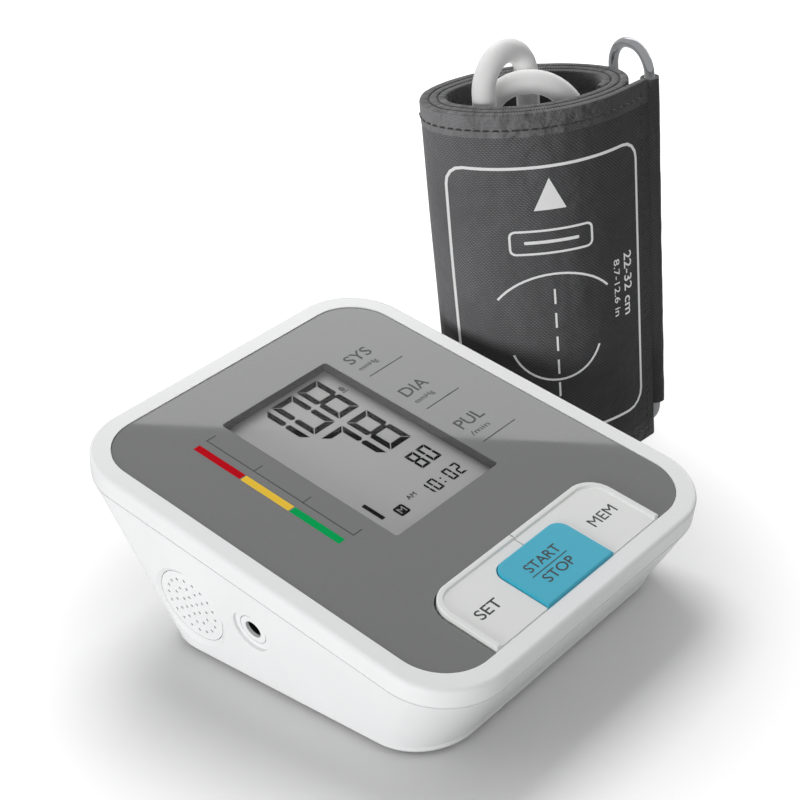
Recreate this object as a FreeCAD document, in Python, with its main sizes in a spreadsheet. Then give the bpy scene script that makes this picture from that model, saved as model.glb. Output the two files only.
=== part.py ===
"""Upper-arm blood pressure monitor with its rolled cuff, millimetres.

The origin is on the table under the middle of the face panel: X to the right, Y to the back,
Z up. The face leans up towards the back, so the pieces of the face are drawn in a plate frame
whose XY plane is the face and are then tilted together.
"""
import FreeCAD, Part
import math
import os
import re
import Sketcher

Vector = FreeCAD.Vector
X_AXIS = Vector(1, 0, 0)
Y_AXIS = Vector(0, 1, 0)
Z_AXIS = Vector(0, 0, 1)

SIZES = {
    # Housing: the tilted face, the seam below it and the smaller base
    "plate_tilt": 12,
    "plate_height": 45.2,
    "case_width": 119,
    "case_length": 142,
    "case_corner": 20,
    "rim_width": 5.6,
    "rim_round": 1.2,
    "seam_drop": 6.5,
    "seam_groove": 0.4,
    "case_wall": 2,
    "base_side_inset": 4.6,
    "base_front_inset": 15.8,
    "base_back_inset": 20,
    "base_corner": 18,
    "base_round": 3,
    "base_floor": 2.2,
    "lip_height": 1.5,
    "lip_wall": 1,
    "lip_gap": 0.15,
    "fit_gap": 0.2,
    # Feet, which plug the screw wells
    "foot_radius": 4.5,
    "foot_height": 0.8,
    "foot_recess": 1,
    # Posts and case screws
    "post_radius": 4.5,
    "post_side_inset": 12.4,
    "post_back_inset": 10.5,
    "post_front_inset": 10.2,
    "boss_radius": 3.2,
    "boss_length": 14,
    "screw_radius": 1.4,
    "screw_head_radius": 2.6,
    "screw_head_height": 1.8,
    "screw_grip": 4,
    "screw_bite": 8,
    # Face panel and display
    "panel_drop": 0.3,
    "panel_thickness": 1.2,
    "panel_corner": 15,
    "top_wall": 3.3,
    "window_width": 42.9,
    "window_length": 66.5,
    "window_along": 1.5,
    "window_across": 0.75,
    "window_round": 1,
    "lens_ledge": 2.1,
    "lens_thickness": 0.8,
    "lens_gap": 0.15,
    "glass_thickness": 1.1,
    "glass_margin": 1.6,
    "glass_step": 3,
    "frame_wall": 1.8,
    "strip_width": 2,
    # Keys
    "key_block_width": 70.9,
    "key_block_depth": 24.3,
    "key_block_corner": 8,
    "blue_key_width": 28.2,
    "blue_key_depth": 19.1,
    "blue_key_corner": 4,
    "key_gap": 0.35,
    "key_proud": 1,
    "key_lip": 1.8,
    "key_dish": 0.8,
    "key_travel": 0.8,
    "key_skirt": 4,
    "key_round": 0.4,
    "stem_radius": 2,
    "stem_across": 25,
    "stem_setback": 10.4,
    # Circuit board
    "board_drop": 10,
    "board_width": 74,
    "board_front_margin": 4.4,
    "board_back_margin": 10.4,
    "board_thickness": 1.6,
    "board_corner": 3,
    "board_post_radius": 3,
    "board_post_across": 33,
    "board_post_behind_keys": 10.1,
    "board_post_back_inset": 5,
    "board_screw_radius": 1.1,
    "board_screw_length": 5,
    "board_head_radius": 2.2,
    "board_head_height": 1.4,
    "switch_side": 6,
    "switch_height": 3.5,
    "plunger_radius": 1.7,
    "plunger_length": 2.2,
    # Speaker, let into the left wall
    "grille_radius": 11.75,
    "grille_setback": 22,
    "grille_height": 19.5,
    "grille_drop": 1.1,
    "grille_rim": 1.7,
    "pinhole_radius": 0.5,
    "pinhole_pitch": 3,
    "basket_flange": 1.4,
    "basket_depth": 3,
    "magnet_radius": 6,
    "magnet_height": 3,
    # Air socket in the left wall
    "dish_radius": 6.5,
    "dish_depth": 1,
    "socket_setback": 48,
    "socket_height": 23,
    "socket_bore": 2.75,
    "socket_radius": 4.5,
    "socket_length": 14,
    "barb_radius": 1.6,
    "barb_length": 5,
    # Pump, valve and air lines
    "air_setback": 6,
    "air_height": 29,
    "motor_radius": 8,
    "motor_length": 26,
    "motor_start": 4,
    "head_radius": 8.5,
    "head_length": 20,
    "nozzle_radius": 1.6,
    "nozzle_length": 6,
    "saddle_length": 18,
    "saddle_depth": 7.6,
    "saddle_setback": 6.4,
    "manifold_across": -30,
    "manifold_radius": 3,
    "manifold_length": 10,
    "branch_reach": 4.6,
    "valve_width": 12,
    "valve_depth": 7.6,
    "valve_height": 17,
    "tube_radius": 2.4,
    "sensor_side": 8,
    "sensor_height": 3.5,
    # Battery bay, cells and door
    "cell_radius": 7.1,
    "cell_length": 50.5,
    "cell_pitch": 15,
    "cell_count": 4,
    "nub_radius": 2.7,
    "nub_length": 1,
    "bay_setback": 13,
    "bay_wall": 1.5,
    "bay_ledge": 2,
    "bay_height": 15.4,
    "spring_reach": 6.6,
    "contact_width": 9,
    "contact_thickness": 0.4,
    "door_thickness": 1.8,
    "door_gap": 0.3,
    "latch_width": 16,
    "latch_length": 9,
    "latch_slit": 1,
    # Rolled cuff, standing on its edge beside the monitor
    "cuff_gap": 7.5,
    "cuff_y": 20,
    "cuff_turn": -45,
    "cuff_height": 120,
    "roll_width": 64,
    "roll_depth": 44,
    "roll_end_radius": 15,
    "roll_arc_count": 12,
    "strip_thickness": 2.2,
    "layer_gap": 0.4,
    "tail_length": 13,
    "bladder_thickness": 0.6,
    "pocket_thickness": 0.9,
    "pocket_margin": 8,
    # Ring in the outer hem
    "ring_wire_radius": 1.5,
    "ring_width": 17,
    "ring_height": 126,
    "ring_corner": 8,
    "ring_rest": 0.8,
    "hem_radius": 3,
    "hem_bore": 1.75,
    "hem_start": 11.5,
    # Hose and its ends
    "hose_radius": 3.5,
    "hose_tall_arch": 131,
    "hose_broad_arch": 121.6,
    "hose_low_turn": 12.5,
    "elbow_radius": 4.4,
    "elbow_low": 10,
    "elbow_top": 22,
    "elbow_port": 15,
    "elbow_flange_radius": 5.5,
    "elbow_flange": 1,
    "plug_top": 46,
    "plug_grip_radius": 5.2,
    "plug_grip_length": 18,
    "plug_tip_radius": 2.6,
    "plug_tip_length": 12,
}

doc = FreeCAD.newDocument("blood_pressure_monitor")
sheet = doc.addObject("Spreadsheet::Sheet", "sizes")
for row, (alias, number) in enumerate(SIZES.items(), start=1):
    sheet.set(f"A{row}", alias)
    sheet.set(f"B{row}", str(number))
    sheet.setAlias(f"B{row}", alias)
doc.recompute()

pieces = {}


def bound(formula):
    """A formula written with size names, made ready to bind to the sheet's cells."""
    def qualify(word):
        return "sizes." + word[0] if word[0] in SIZES else word[0]
    return re.sub(r"[a-z][a-z_]+", qualify, str(formula))


def value(formula):
    """The number that a formula gives now."""
    return float(sheet.evalExpression(str(formula)))


def bind(thing, **formulas):
    for name, formula in formulas.items():
        thing.setExpression(name, bound(formula))
    return thing


def place(thing, x="0", y="0", z="0", axis=None, angle="0"):
    """Put a thing at a bound position, turned by a bound angle."""
    if axis is not None:
        thing.Placement = FreeCAD.Placement(Vector(), FreeCAD.Rotation(axis, value(angle)))
        thing.setExpression("Placement.Rotation.Angle", bound(angle))
    thing.setExpression("Placement.Base.x", bound(x))
    thing.setExpression("Placement.Base.y", bound(y))
    thing.setExpression("Placement.Base.z", bound(z))
    return thing


def keep(label, thing):
    """Name a finished piece."""
    thing.Label = label
    pieces[label] = thing
    return thing


def on_plate(thing):
    """Tilt a piece drawn in the plate frame into its place on the face."""
    return place(thing, z="plate_height", axis=X_AXIS, angle="plate_tilt")


CUFF_X = "(case_width / 2 + cuff_gap + (roll_width + roll_depth) / 4)"


def in_cuff(thing):
    """Carry a piece drawn in the cuff's own frame to the standing roll beside the case."""
    return place(thing, x=CUFF_X, y="cuff_y", axis=Z_AXIS, angle="cuff_turn")


# Part primitives, placed by the middle of their lowest face

def box(name, length, width, height, x="0", y="0", z="0"):
    block = bind(doc.addObject("Part::Box", name), Length=length, Width=width, Height=height)
    return place(block, f"({x}) - ({length}) / 2", f"({y}) - ({width}) / 2", z)


def cylinder(name, radius, height, x="0", y="0", z="0", along="Z"):
    rod = bind(doc.addObject("Part::Cylinder", name), Radius=radius, Height=height)
    turns = {"Z": (None, "0"), "X": (Y_AXIS, "90"), "Y": (X_AXIS, "-90")}
    axis, angle = turns[along]
    return place(rod, x, y, z, axis, angle)


def fuse(name, *shapes):
    joined = doc.addObject("Part::MultiFuse", name)
    joined.Shapes = list(shapes)
    return joined


def cut(name, base, *tools):
    carved = doc.addObject("Part::Cut", name)
    carved.Base = base
    carved.Tool = tools[0] if len(tools) == 1 else fuse(name + "_tools", *tools)
    return carved


def group(name, *shapes):
    together = doc.addObject("Part::Compound", name)
    together.Links = list(shapes)
    return together


def solid(label, shape):
    """A piece whose shape follows a path or a spiral worked out from the sheet."""
    feature = doc.addObject("Part::Feature", label)
    feature.Shape = shape
    return keep(label, feature)


# Bodies, sketches and features

def new_body(label):
    return keep(label, doc.addObject("PartDesign::Body", label))


def new_sketch(body, name, lift="0", plane="XY_Plane"):
    sketch = body.newObject("Sketcher::SketchObject", name)
    support = [feature for feature in body.Origin.OriginFeatures if feature.Role == plane]
    sketch.AttachmentSupport = [(support[0], "")]
    sketch.MapMode = "FlatFace"
    sketch.setExpression("AttachmentOffset.Base.z", bound(lift))
    return sketch


def dimension(sketch, name, formula, kind, *where):
    """Add a dimension bound to a formula."""
    index = sketch.addConstraint(Sketcher.Constraint(kind, *where, value(formula)))
    name = f"{name}_{index}"
    sketch.renameConstraint(index, name)
    sketch.setExpression("Constraints." + name, bound(formula))


def rectangle(sketch, width, length, corner=None, x="0", y="0", front_round=True):
    """A rectangle about (x, y), its corners rounded, or only its back corners."""
    first = sketch.GeometryCount
    half_w = value(width) / 2
    half_l = value(length) / 2
    middle = Vector(value(x), value(y), 0)
    radius = value(corner) if corner else 0
    front_r = radius if front_round else 0
    left, right, front, back = -half_w, half_w, -half_l, half_l
    lines = [
        (Vector(left + front_r, front), Vector(right - front_r, front)),
        (Vector(right, front + front_r), Vector(right, back - radius)),
        (Vector(right - radius, back), Vector(left + radius, back)),
        (Vector(left, back - radius), Vector(left, front + front_r)),
    ]
    for start, end in lines:
        sketch.addGeometry(Part.LineSegment(middle + start, middle + end))
    bottom, right_side, top, left_side = range(first, first + 4)
    sides = [bottom, right_side, top, left_side]
    arcs = []
    for index, side in enumerate(sides):
        follower = sides[(index + 1) % 4]
        rounded = corner and (front_round or index in (1, 2))
        if not rounded:
            sketch.addConstraint(Sketcher.Constraint("Coincident", side, 2, follower, 1))
            continue
        turn = -math.pi / 2 + index * math.pi / 2
        centre = middle + Vector([right, right, left, left][index] - [1, 1, -1, -1][index] * radius,
                                 [front, back, back, front][index] - [-1, 1, 1, -1][index] * radius)
        arc = sketch.addGeometry(
            Part.ArcOfCircle(Part.Circle(centre, Z_AXIS, radius), turn, turn + math.pi / 2))
        sketch.addConstraint(Sketcher.Constraint("Tangent", side, 2, arc, 1))
        sketch.addConstraint(Sketcher.Constraint("Tangent", arc, 2, follower, 1))
        arcs.append(arc)
    for arc in arcs[1:]:
        sketch.addConstraint(Sketcher.Constraint("Equal", arcs[0], arc))
    for side in (bottom, top):
        sketch.addConstraint(Sketcher.Constraint("Horizontal", side))
    for side in (right_side, left_side):
        sketch.addConstraint(Sketcher.Constraint("Vertical", side))
    if arcs:
        dimension(sketch, "corner", corner, "Radius", arcs[0])
    dimension(sketch, "width", width, "DistanceX", left_side, 1, right_side, 1)
    dimension(sketch, "length", length, "DistanceY", bottom, 1, top, 1)
    dimension(sketch, "across", f"({x}) + ({width}) / 2", "DistanceX", -1, 1, right_side, 1)
    dimension(sketch, "along", f"({y}) + ({length}) / 2", "DistanceY", -1, 1, top, 1)


def circle(sketch, radius, x="0", y="0"):
    centre = Vector(value(x), value(y), 0)
    ring = sketch.addGeometry(Part.Circle(centre, Z_AXIS, value(radius)))
    dimension(sketch, "radius", radius, "Radius", ring)
    for formula, kind, axis in ((x, "DistanceX", -2), (y, "DistanceY", -1)):
        if formula == "0":
            sketch.addConstraint(Sketcher.Constraint("PointOnObject", ring, 3, axis))
        else:
            dimension(sketch, "centre", formula, kind, -1, 1, ring, 3)


def pad(body, sketch, length):
    return bind(feature_on(body, sketch, "Pad"), Length=length)


def pocket(body, sketch, length, upward=False):
    """Cut down from the sketch, or up from it."""
    hole = bind(feature_on(body, sketch, "Pocket"), Length=length)
    hole.Reversed = upward
    return hole


def feature_on(body, sketch, kind):
    feature = body.newObject("PartDesign::" + kind, f"{sketch.Name}_{kind.lower()}")
    feature.Profile = sketch
    return feature


def ease_edges(body, kind, chosen, **size):
    """Fillet or chamfer the edges of the body so far that pass a test."""
    doc.recompute()
    base = body.Tip
    names = [f"Edge{index}" for index, edge in enumerate(base.Shape.Edges, start=1) if chosen(edge)]
    eased = body.newObject("PartDesign::" + kind, f"{body.Name}_{kind.lower()}")
    eased.Base = (base, names)
    return bind(eased, **size)


def near(number, target):
    return abs(number - target) < 1e-4


def lies_at(height):
    """A test for edges that lie flat at a height."""
    def test(edge):
        bounds = edge.BoundBox
        return near(bounds.ZMin, value(height)) and near(bounds.ZMax, value(height))
    return test


def rounded_path(points, radii):
    """Straight runs between points, joined by tangent arcs of the given radii."""
    edges = []
    start = points[0]
    for before, corner, after, radius in zip(points, points[1:], points[2:], radii):
        inward = (before - corner).normalize()
        onward = (after - corner).normalize()
        half = inward.getAngle(onward) / 2
        reach = radius / math.tan(half)
        arc_start = corner + inward * reach
        arc_end = corner + onward * reach
        middle = corner + (inward + onward).normalize() * (radius / math.sin(half) - radius)
        if (arc_start - start).Length > 1e-6:
            edges.append(Part.LineSegment(start, arc_start).toShape())
        edges.append(Part.Arc(arc_start, middle, arc_end).toShape())
        start = arc_end
    edges.append(Part.LineSegment(start, points[-1]).toShape())
    return Part.Wire(edges)


def swept_tube(path, radius):
    """A round solid along a path, checked against its section times its length."""
    first = path.Edges[0]
    start = first.valueAt(first.FirstParameter)
    heading = first.tangentAt(first.FirstParameter)
    section = Part.Wire([Part.Circle(start, heading, radius).toShape()])
    tube = path.makePipeShell([section], True, False)
    expected = math.pi * radius ** 2 * path.Length
    print(f"tube length {path.Length:.1f}, volume off by {tube.Volume / expected - 1:.4f}")
    return tube


# Bottom case: a loft from the small base to the tilted seam, hollowed, with battery bay and posts

BASE_WIDTH = "(case_width - 2 * base_side_inset)"
BASE_LENGTH = "(case_length - base_front_inset - base_back_inset)"
BASE_MIDDLE = "((base_front_inset - base_back_inset) / 2)"
BASE_FRONT = "(base_front_inset - case_length / 2)"
BASE_BACK = "(case_length / 2 - base_back_inset)"
BASE_LEVEL = "foot_height"
WALL_START = "(foot_height + base_round)"
FLOOR_LEVEL = "(foot_height + base_floor)"
SEAM_Y = "seam_drop * sin(plate_tilt)"
SEAM_Z = "plate_height - seam_drop * cos(plate_tilt)"
BAY_WIDTH = "(cell_count * cell_pitch + 2 * fit_gap)"
BAY_LENGTH = "(cell_length + spring_reach + contact_thickness + 2 * fit_gap)"
BAY_MIDDLE = f"({BASE_BACK} - bay_setback - {BAY_LENGTH} / 2)"
BAY_ROOF = "(foot_height + door_thickness + fit_gap + bay_height)"
DOOR_WIDTH = f"({BAY_WIDTH} + 2 * bay_ledge)"
DOOR_LENGTH = f"({BAY_LENGTH} + 2 * bay_ledge)"


def seam_sketch(body, name, inset):
    """The case outline on the tilted seam, drawn in by an inset."""
    sketch = new_sketch(body, name)
    sketch.AttachmentOffset = FreeCAD.Placement(
        Vector(), FreeCAD.Rotation(X_AXIS, value("plate_tilt")))
    bind(sketch, **{"AttachmentOffset.Base.y": SEAM_Y, "AttachmentOffset.Base.z": SEAM_Z,
                    "AttachmentOffset.Rotation.Angle": "plate_tilt"})
    rectangle(sketch, f"case_width - 2 * ({inset})", f"case_length - 2 * ({inset})",
              f"case_corner - ({inset})")
    return sketch


def base_sketch(body, name, lift, inset):
    sketch = new_sketch(body, name, lift)
    rectangle(sketch, f"{BASE_WIDTH} - 2 * ({inset})", f"{BASE_LENGTH} - 2 * ({inset})",
              f"base_corner - ({inset})", y=BASE_MIDDLE)
    return sketch


def loft(body, kind, *outlines):
    skin = body.newObject("PartDesign::" + kind, f"{outlines[0].Name}_loft")
    skin.Profile = outlines[0]
    skin.Sections = list(outlines[1:])
    skin.Ruled = True
    return skin


# The rounded foot of the wall is stepped through a quarter turn
FOOT_STEPS = 4
foot_outlines = []
shell = doc.addObject("PartDesign::Body", "bottom_shell")
for step in range(FOOT_STEPS + 1):
    turn = 90 * step / FOOT_STEPS
    foot_outlines.append(base_sketch(
        shell, f"foot_outline_{step}", f"{BASE_LEVEL} + base_round * (1 - cos({turn}))",
        f"base_round * (1 - sin({turn}))"))
loft(shell, "AdditiveLoft", *foot_outlines, seam_sketch(shell, "seam_outline", "0"))
loft(shell, "SubtractiveLoft", base_sketch(shell, "floor_outline", FLOOR_LEVEL, "case_wall"),
     seam_sketch(shell, "mouth_outline", "case_wall"))
pocket(shell, seam_sketch(shell, "lip_rebate", "case_wall"), "lip_height + fit_gap")

bay_block = new_sketch(shell, "bay_block", FLOOR_LEVEL)
rectangle(bay_block, f"{BAY_WIDTH} + 2 * bay_wall", f"{BAY_LENGTH} + 2 * bay_wall", y=BAY_MIDDLE)
pad(shell, bay_block, f"{BAY_ROOF} + bay_wall - {FLOOR_LEVEL}")
door_seat = new_sketch(shell, "door_seat", BASE_LEVEL)
rectangle(door_seat, f"{DOOR_WIDTH} + 2 * door_gap", f"{DOOR_LENGTH} + 2 * door_gap", y=BAY_MIDDLE)
pocket(shell, door_seat, "door_thickness + fit_gap", upward=True)
bay_hollow = new_sketch(shell, "bay_hollow", BASE_LEVEL)
rectangle(bay_hollow, BAY_WIDTH, BAY_LENGTH, y=BAY_MIDDLE)
pocket(shell, bay_hollow, f"{BAY_ROOF} - {BASE_LEVEL}", upward=True)

# The posts stop where the cover's bosses come down to them
POST_ACROSS = f"({BASE_WIDTH} / 2 - post_side_inset)"
POST_FRONT = f"({BASE_FRONT} + post_front_inset)"
POST_BACK = f"({BASE_BACK} - post_back_inset)"
POST_PLACES = [(f"{side} * {POST_ACROSS}", along) for along in (POST_FRONT, POST_BACK) for side in (-1, 1)]
WALL_MIDDLE = "(top_wall + panel_drop + panel_thickness) / 2"


def boss_top(along):
    return f"(plate_height + tan(plate_tilt) * ({along}) - {WALL_MIDDLE} / cos(plate_tilt))"


def meeting(along):
    return f"({boss_top(along)} - boss_length)"


posts = []
wells = []
for index, (across, along) in enumerate(POST_PLACES):
    posts.append(cylinder(f"post_{index}", "post_radius", f"{meeting(along)} - {BASE_LEVEL} - foot_recess",
                          across, along, f"{BASE_LEVEL} + foot_recess"))
    wells.append(cylinder(f"foot_recess_{index}", "foot_radius + fit_gap", "foot_recess",
                          across, along, BASE_LEVEL))
    wells.append(cylinder(f"head_well_{index}", "screw_head_radius + fit_gap",
                          f"{meeting(along)} - screw_grip - {BASE_LEVEL}", across, along, BASE_LEVEL))
    wells.append(cylinder(f"shank_hole_{index}", "screw_radius + fit_gap",
                          f"{meeting(along)} - {BASE_LEVEL}", across, along, BASE_LEVEL))

# The left wall leans out by a few degrees, and the speaker and air socket are square to it


def wall_rise(along):
    """Rise of the left wall, from its rounded foot to the seam, at a place along it."""
    return f"(plate_height + tan(plate_tilt) * {along} - seam_drop / cos(plate_tilt) - {WALL_START})"


def wall_lean(along):
    return f"atan(base_side_inset / {wall_rise(along)})"


def wall_x(along, height):
    return f"(-{BASE_WIDTH} / 2 - base_side_inset * ({height} - {WALL_START}) / {wall_rise(along)})"


def on_wall(thing, along, height):
    """Set a piece, drawn with its axis pointing into the case, square to the left wall."""
    return place(thing, wall_x(along, height), along, height, Y_AXIS, f"90 deg - {wall_lean(along)}")


SPEAKER = (f"({BASE_BACK} - grille_setback)", "grille_height")
SOCKET = (f"({BASE_BACK} - socket_setback)", "socket_height")
CUT_PAST = "(2 * case_wall)"
grille_slope = doc.addObject("Part::Cone", "grille_slope")
bind(grille_slope, Radius1="grille_radius + fit_gap + 2 * grille_rim", Radius2="grille_radius + fit_gap",
     Height="2 * grille_drop")
place(grille_slope, z="-grille_drop")
grille_hole = on_wall(group("grille_hole", fuse(
    "grille_cut", grille_slope,
    cylinder("grille_drill", "grille_radius + fit_gap", f"2 * {CUT_PAST}", z=f"-{CUT_PAST}"))),
    *SPEAKER)
socket_hole = on_wall(group("socket_hole", fuse(
    "socket_drill",
    cylinder("dish_cut", "dish_radius", f"{CUT_PAST} + dish_depth", z=f"-{CUT_PAST}"),
    cylinder("socket_cut", "socket_radius + fit_gap", f"2 * {CUT_PAST}", z=f"-{CUT_PAST}"))),
    *SOCKET)
posted = fuse("case_posted", shell, *posts)
keep("bottom_case", cut("case_bored", posted, *wells, grille_hole, socket_hole))

# Top cover: the white rim and top wall, with lip, panel seat, window, key opening and bosses

COVER_INSET = "(case_wall + lip_gap + lip_wall)"
SEAT_LEVEL = "(-panel_drop - panel_thickness)"
PANEL_WIDTH = "(case_width - 2 * rim_width)"
PANEL_LENGTH = "(case_length - 2 * rim_width)"
KEY_FRONT = f"(-{PANEL_LENGTH} / 2)"
WINDOW_LENGTH = "window_length"
WINDOW_ALONG = f"({KEY_FRONT} + (key_block_depth + {PANEL_LENGTH}) / 2 + window_along)"
WINDOW = {"x": "window_across", "y": WINDOW_ALONG}


def case_outline(sketch, inset):
    rectangle(sketch, f"case_width - 2 * {inset}", f"case_length - 2 * {inset}", f"case_corner - {inset}")


def key_opening(sketch, gap):
    """The key block's outline with a gap round it, square against the front of the panel seat."""
    depth = f"(key_block_depth + ({gap}))"
    rectangle(sketch, f"key_block_width + 2 * ({gap})", depth, f"key_block_corner + ({gap})",
              y=f"{KEY_FRONT} + {depth} / 2", front_round=False)


cover = doc.addObject("PartDesign::Body", "cover_shell")
cover_outline = new_sketch(cover, "cover_outline", "-seam_drop")
case_outline(cover_outline, "0")
pad(cover, cover_outline, "seam_drop")
ease_edges(cover, "Fillet", lies_at("0"), Radius="rim_round")
ease_edges(cover, "Chamfer", lies_at("-seam_drop"), Size="seam_groove")
cover_hollow = new_sketch(cover, "cover_hollow", "-seam_drop")
case_outline(cover_hollow, COVER_INSET)
pocket(cover, cover_hollow, "seam_drop - top_wall", upward=True)
lip = new_sketch(cover, "lip", "-seam_drop - lip_height")
case_outline(lip, "(case_wall + lip_gap)")
case_outline(lip, COVER_INSET)
pad(cover, lip, "lip_height")
panel_seat = new_sketch(cover, "panel_seat")
rectangle(panel_seat, PANEL_WIDTH, PANEL_LENGTH, "panel_corner")
pocket(cover, panel_seat, "panel_drop + panel_thickness")
cover_window = new_sketch(cover, "cover_window")
rectangle(cover_window, "window_width", WINDOW_LENGTH, "window_round", **WINDOW)
pocket(cover, cover_window, "top_wall")
lens_seat = new_sketch(cover, "lens_seat", "-top_wall")
rectangle(lens_seat, "window_width + 2 * lens_ledge + 2 * fit_gap",
          f"{WINDOW_LENGTH} + 2 * lens_ledge + 2 * fit_gap", **WINDOW)
pocket(cover, lens_seat, "lens_thickness", upward=True)
key_hole = new_sketch(cover, "key_hole")
key_opening(key_hole, "key_gap")
pocket(cover, key_hole, "top_wall")
board_posts = new_sketch(cover, "board_posts", "-board_drop")
BOARD_FRONT = f"({KEY_FRONT} + board_front_margin)"
BOARD_BACK = f"({PANEL_LENGTH} / 2 - board_back_margin)"
BOARD_MIDDLE = f"(({BOARD_FRONT} + {BOARD_BACK}) / 2)"
BOARD_POST_FRONT = f"({KEY_FRONT} + key_block_depth + board_post_behind_keys)"
BOARD_POST_BACK = f"({BOARD_BACK} - board_post_back_inset)"
BOARD_POSTS = [(f"{side} * board_post_across", along)
               for along in (BOARD_POST_FRONT, BOARD_POST_BACK) for side in (-1, 1)]
for across, along in BOARD_POSTS:
    circle(board_posts, "board_post_radius", across, along)
    circle(board_posts, "board_screw_radius", across, along)
pad(cover, board_posts, "board_drop - top_wall")

upright_cover = on_plate(group("upright_cover", cover))
bosses = []
pilot_holes = []
for index, (across, along) in enumerate(POST_PLACES):
    bosses.append(cylinder(f"boss_{index}", "boss_radius", "boss_length", across, along, meeting(along)))
    pilot_holes.append(cylinder(f"pilot_{index}", "screw_radius", "screw_bite + fit_gap",
                                across, along, meeting(along)))
keep("top_cover", cut("cover_drilled", fuse("cover_bossed", upright_cover, *bosses), *pilot_holes))

# Case screws and the feet that hide them

screws = []
feet = []
for index, (across, along) in enumerate(POST_PLACES):
    head_seat = f"{meeting(along)} - screw_grip"
    screws.append(fuse(
        f"case_screw_{index}",
        cylinder(f"shank_{index}", "screw_radius", "screw_grip + screw_bite", across, along, head_seat),
        cylinder(f"head_{index}", "screw_head_radius", "screw_head_height", across, along,
                 f"{head_seat} - screw_head_height")))
    feet.append(cylinder(f"foot_{index}", "foot_radius", "foot_height + foot_recess", across, along))
keep("case_screws", group("screw_set", *screws))
keep("rubber_feet", group("foot_set", *feet))

# Face panel, display window and display

panel = on_plate(new_body("face_panel"))
panel_outline = new_sketch(panel, "panel_outline", SEAT_LEVEL)
rectangle(panel_outline, f"{PANEL_WIDTH} - 2 * fit_gap", f"{PANEL_LENGTH} - 2 * fit_gap",
          "panel_corner - fit_gap")
pad(panel, panel_outline, "panel_thickness")
panel_window = new_sketch(panel, "panel_window")
rectangle(panel_window, "window_width", WINDOW_LENGTH, "window_round", **WINDOW)
pocket(panel, panel_window, "panel_drop + panel_thickness")
panel_keys = new_sketch(panel, "panel_keys")
key_opening(panel_keys, "key_gap")
pocket(panel, panel_keys, "panel_drop + panel_thickness")

# The clear lens drops into the window from below, level with the panel, on a flange
LENS_LEVEL = "(-top_wall)"
lens = on_plate(new_body("display_lens"))
lens_flange = new_sketch(lens, "lens_flange", LENS_LEVEL)
rectangle(lens_flange, "window_width + 2 * lens_ledge", f"{WINDOW_LENGTH} + 2 * lens_ledge", **WINDOW)
pad(lens, lens_flange, "lens_thickness")
lens_face = new_sketch(lens, "lens_face", LENS_LEVEL)
rectangle(lens_face, "window_width - 2 * lens_gap", f"{WINDOW_LENGTH} - 2 * lens_gap",
          "window_round - lens_gap", **WINDOW)
pad(lens, lens_face, "top_wall - panel_drop")

GLASS_WIDTH = "(window_width + 2 * glass_margin)"
GLASS_LENGTH = f"({WINDOW_LENGTH} + 2 * glass_margin)"
GLASS_LEVEL = f"({LENS_LEVEL} - fit_gap - 2 * glass_thickness)"
keep("lcd_glass", on_plate(fuse(
    "glass_pair",
    box("rear_glass", GLASS_WIDTH, GLASS_LENGTH, "glass_thickness", z=GLASS_LEVEL, **WINDOW),
    box("front_glass", GLASS_WIDTH, f"{GLASS_LENGTH} - glass_step", "glass_thickness",
        z=f"{GLASS_LEVEL} + glass_thickness", **WINDOW))))

frame = on_plate(new_body("lcd_frame"))
frame_outline = new_sketch(frame, "frame_outline", "-board_drop")
rectangle(frame_outline, f"{GLASS_WIDTH} + 2 * frame_wall", f"{GLASS_LENGTH} + 2 * frame_wall",
          "frame_wall", **WINDOW)
pad(frame, frame_outline, "board_drop - top_wall - fit_gap")
frame_seat = new_sketch(frame, "frame_seat", GLASS_LEVEL)
rectangle(frame_seat, f"{GLASS_WIDTH} + 2 * fit_gap", f"{GLASS_LENGTH} + 2 * fit_gap", **WINDOW)
pocket(frame, frame_seat, "3 * glass_thickness", upward=True)
frame_hole = new_sketch(frame, "frame_hole")
rectangle(frame_hole, f"{GLASS_WIDTH} - 2 * frame_wall", f"{GLASS_LENGTH} - 2 * frame_wall", **WINDOW)
pocket(frame, frame_hole, "board_drop")

STRIP_HEIGHT = f"({GLASS_LEVEL} + board_drop)"
strips = [box(f"strip_{end}", "window_width - strip_width", "strip_width", STRIP_HEIGHT,
              "window_across", f"{WINDOW_ALONG} + {side} * ({GLASS_LENGTH} / 2 - frame_wall - strip_width)",
              "-board_drop")
          for end, side in (("front", -1), ("back", 1))]
keep("elastomer_strips", on_plate(group("strip_pair", *strips)))

# Circuit board with its screws, switches, chips and pressure sensor

BOARD_UNDER = "(-board_drop - board_thickness)"
board = on_plate(new_body("main_board"))
board_outline = new_sketch(board, "board_outline", BOARD_UNDER)
rectangle(board_outline, "board_width", f"{BOARD_BACK} - {BOARD_FRONT}", "board_corner", y=BOARD_MIDDLE)
pad(board, board_outline, "board_thickness")
board_holes = new_sketch(board, "board_holes", "-board_drop")
for across, along in BOARD_POSTS:
    circle(board_holes, "board_screw_radius + fit_gap", across, along)
pocket(board, board_holes, "board_thickness")

board_screws = []
for index, (across, along) in enumerate(BOARD_POSTS):
    board_screws.append(fuse(
        f"board_screw_{index}",
        cylinder(f"board_shank_{index}", "board_screw_radius", "board_screw_length", across, along,
                 BOARD_UNDER),
        cylinder(f"board_head_{index}", "board_head_radius", "board_head_height", across, along,
                 f"{BOARD_UNDER} - board_head_height")))
keep("board_screws", on_plate(group("board_screw_set", *board_screws)))

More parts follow.
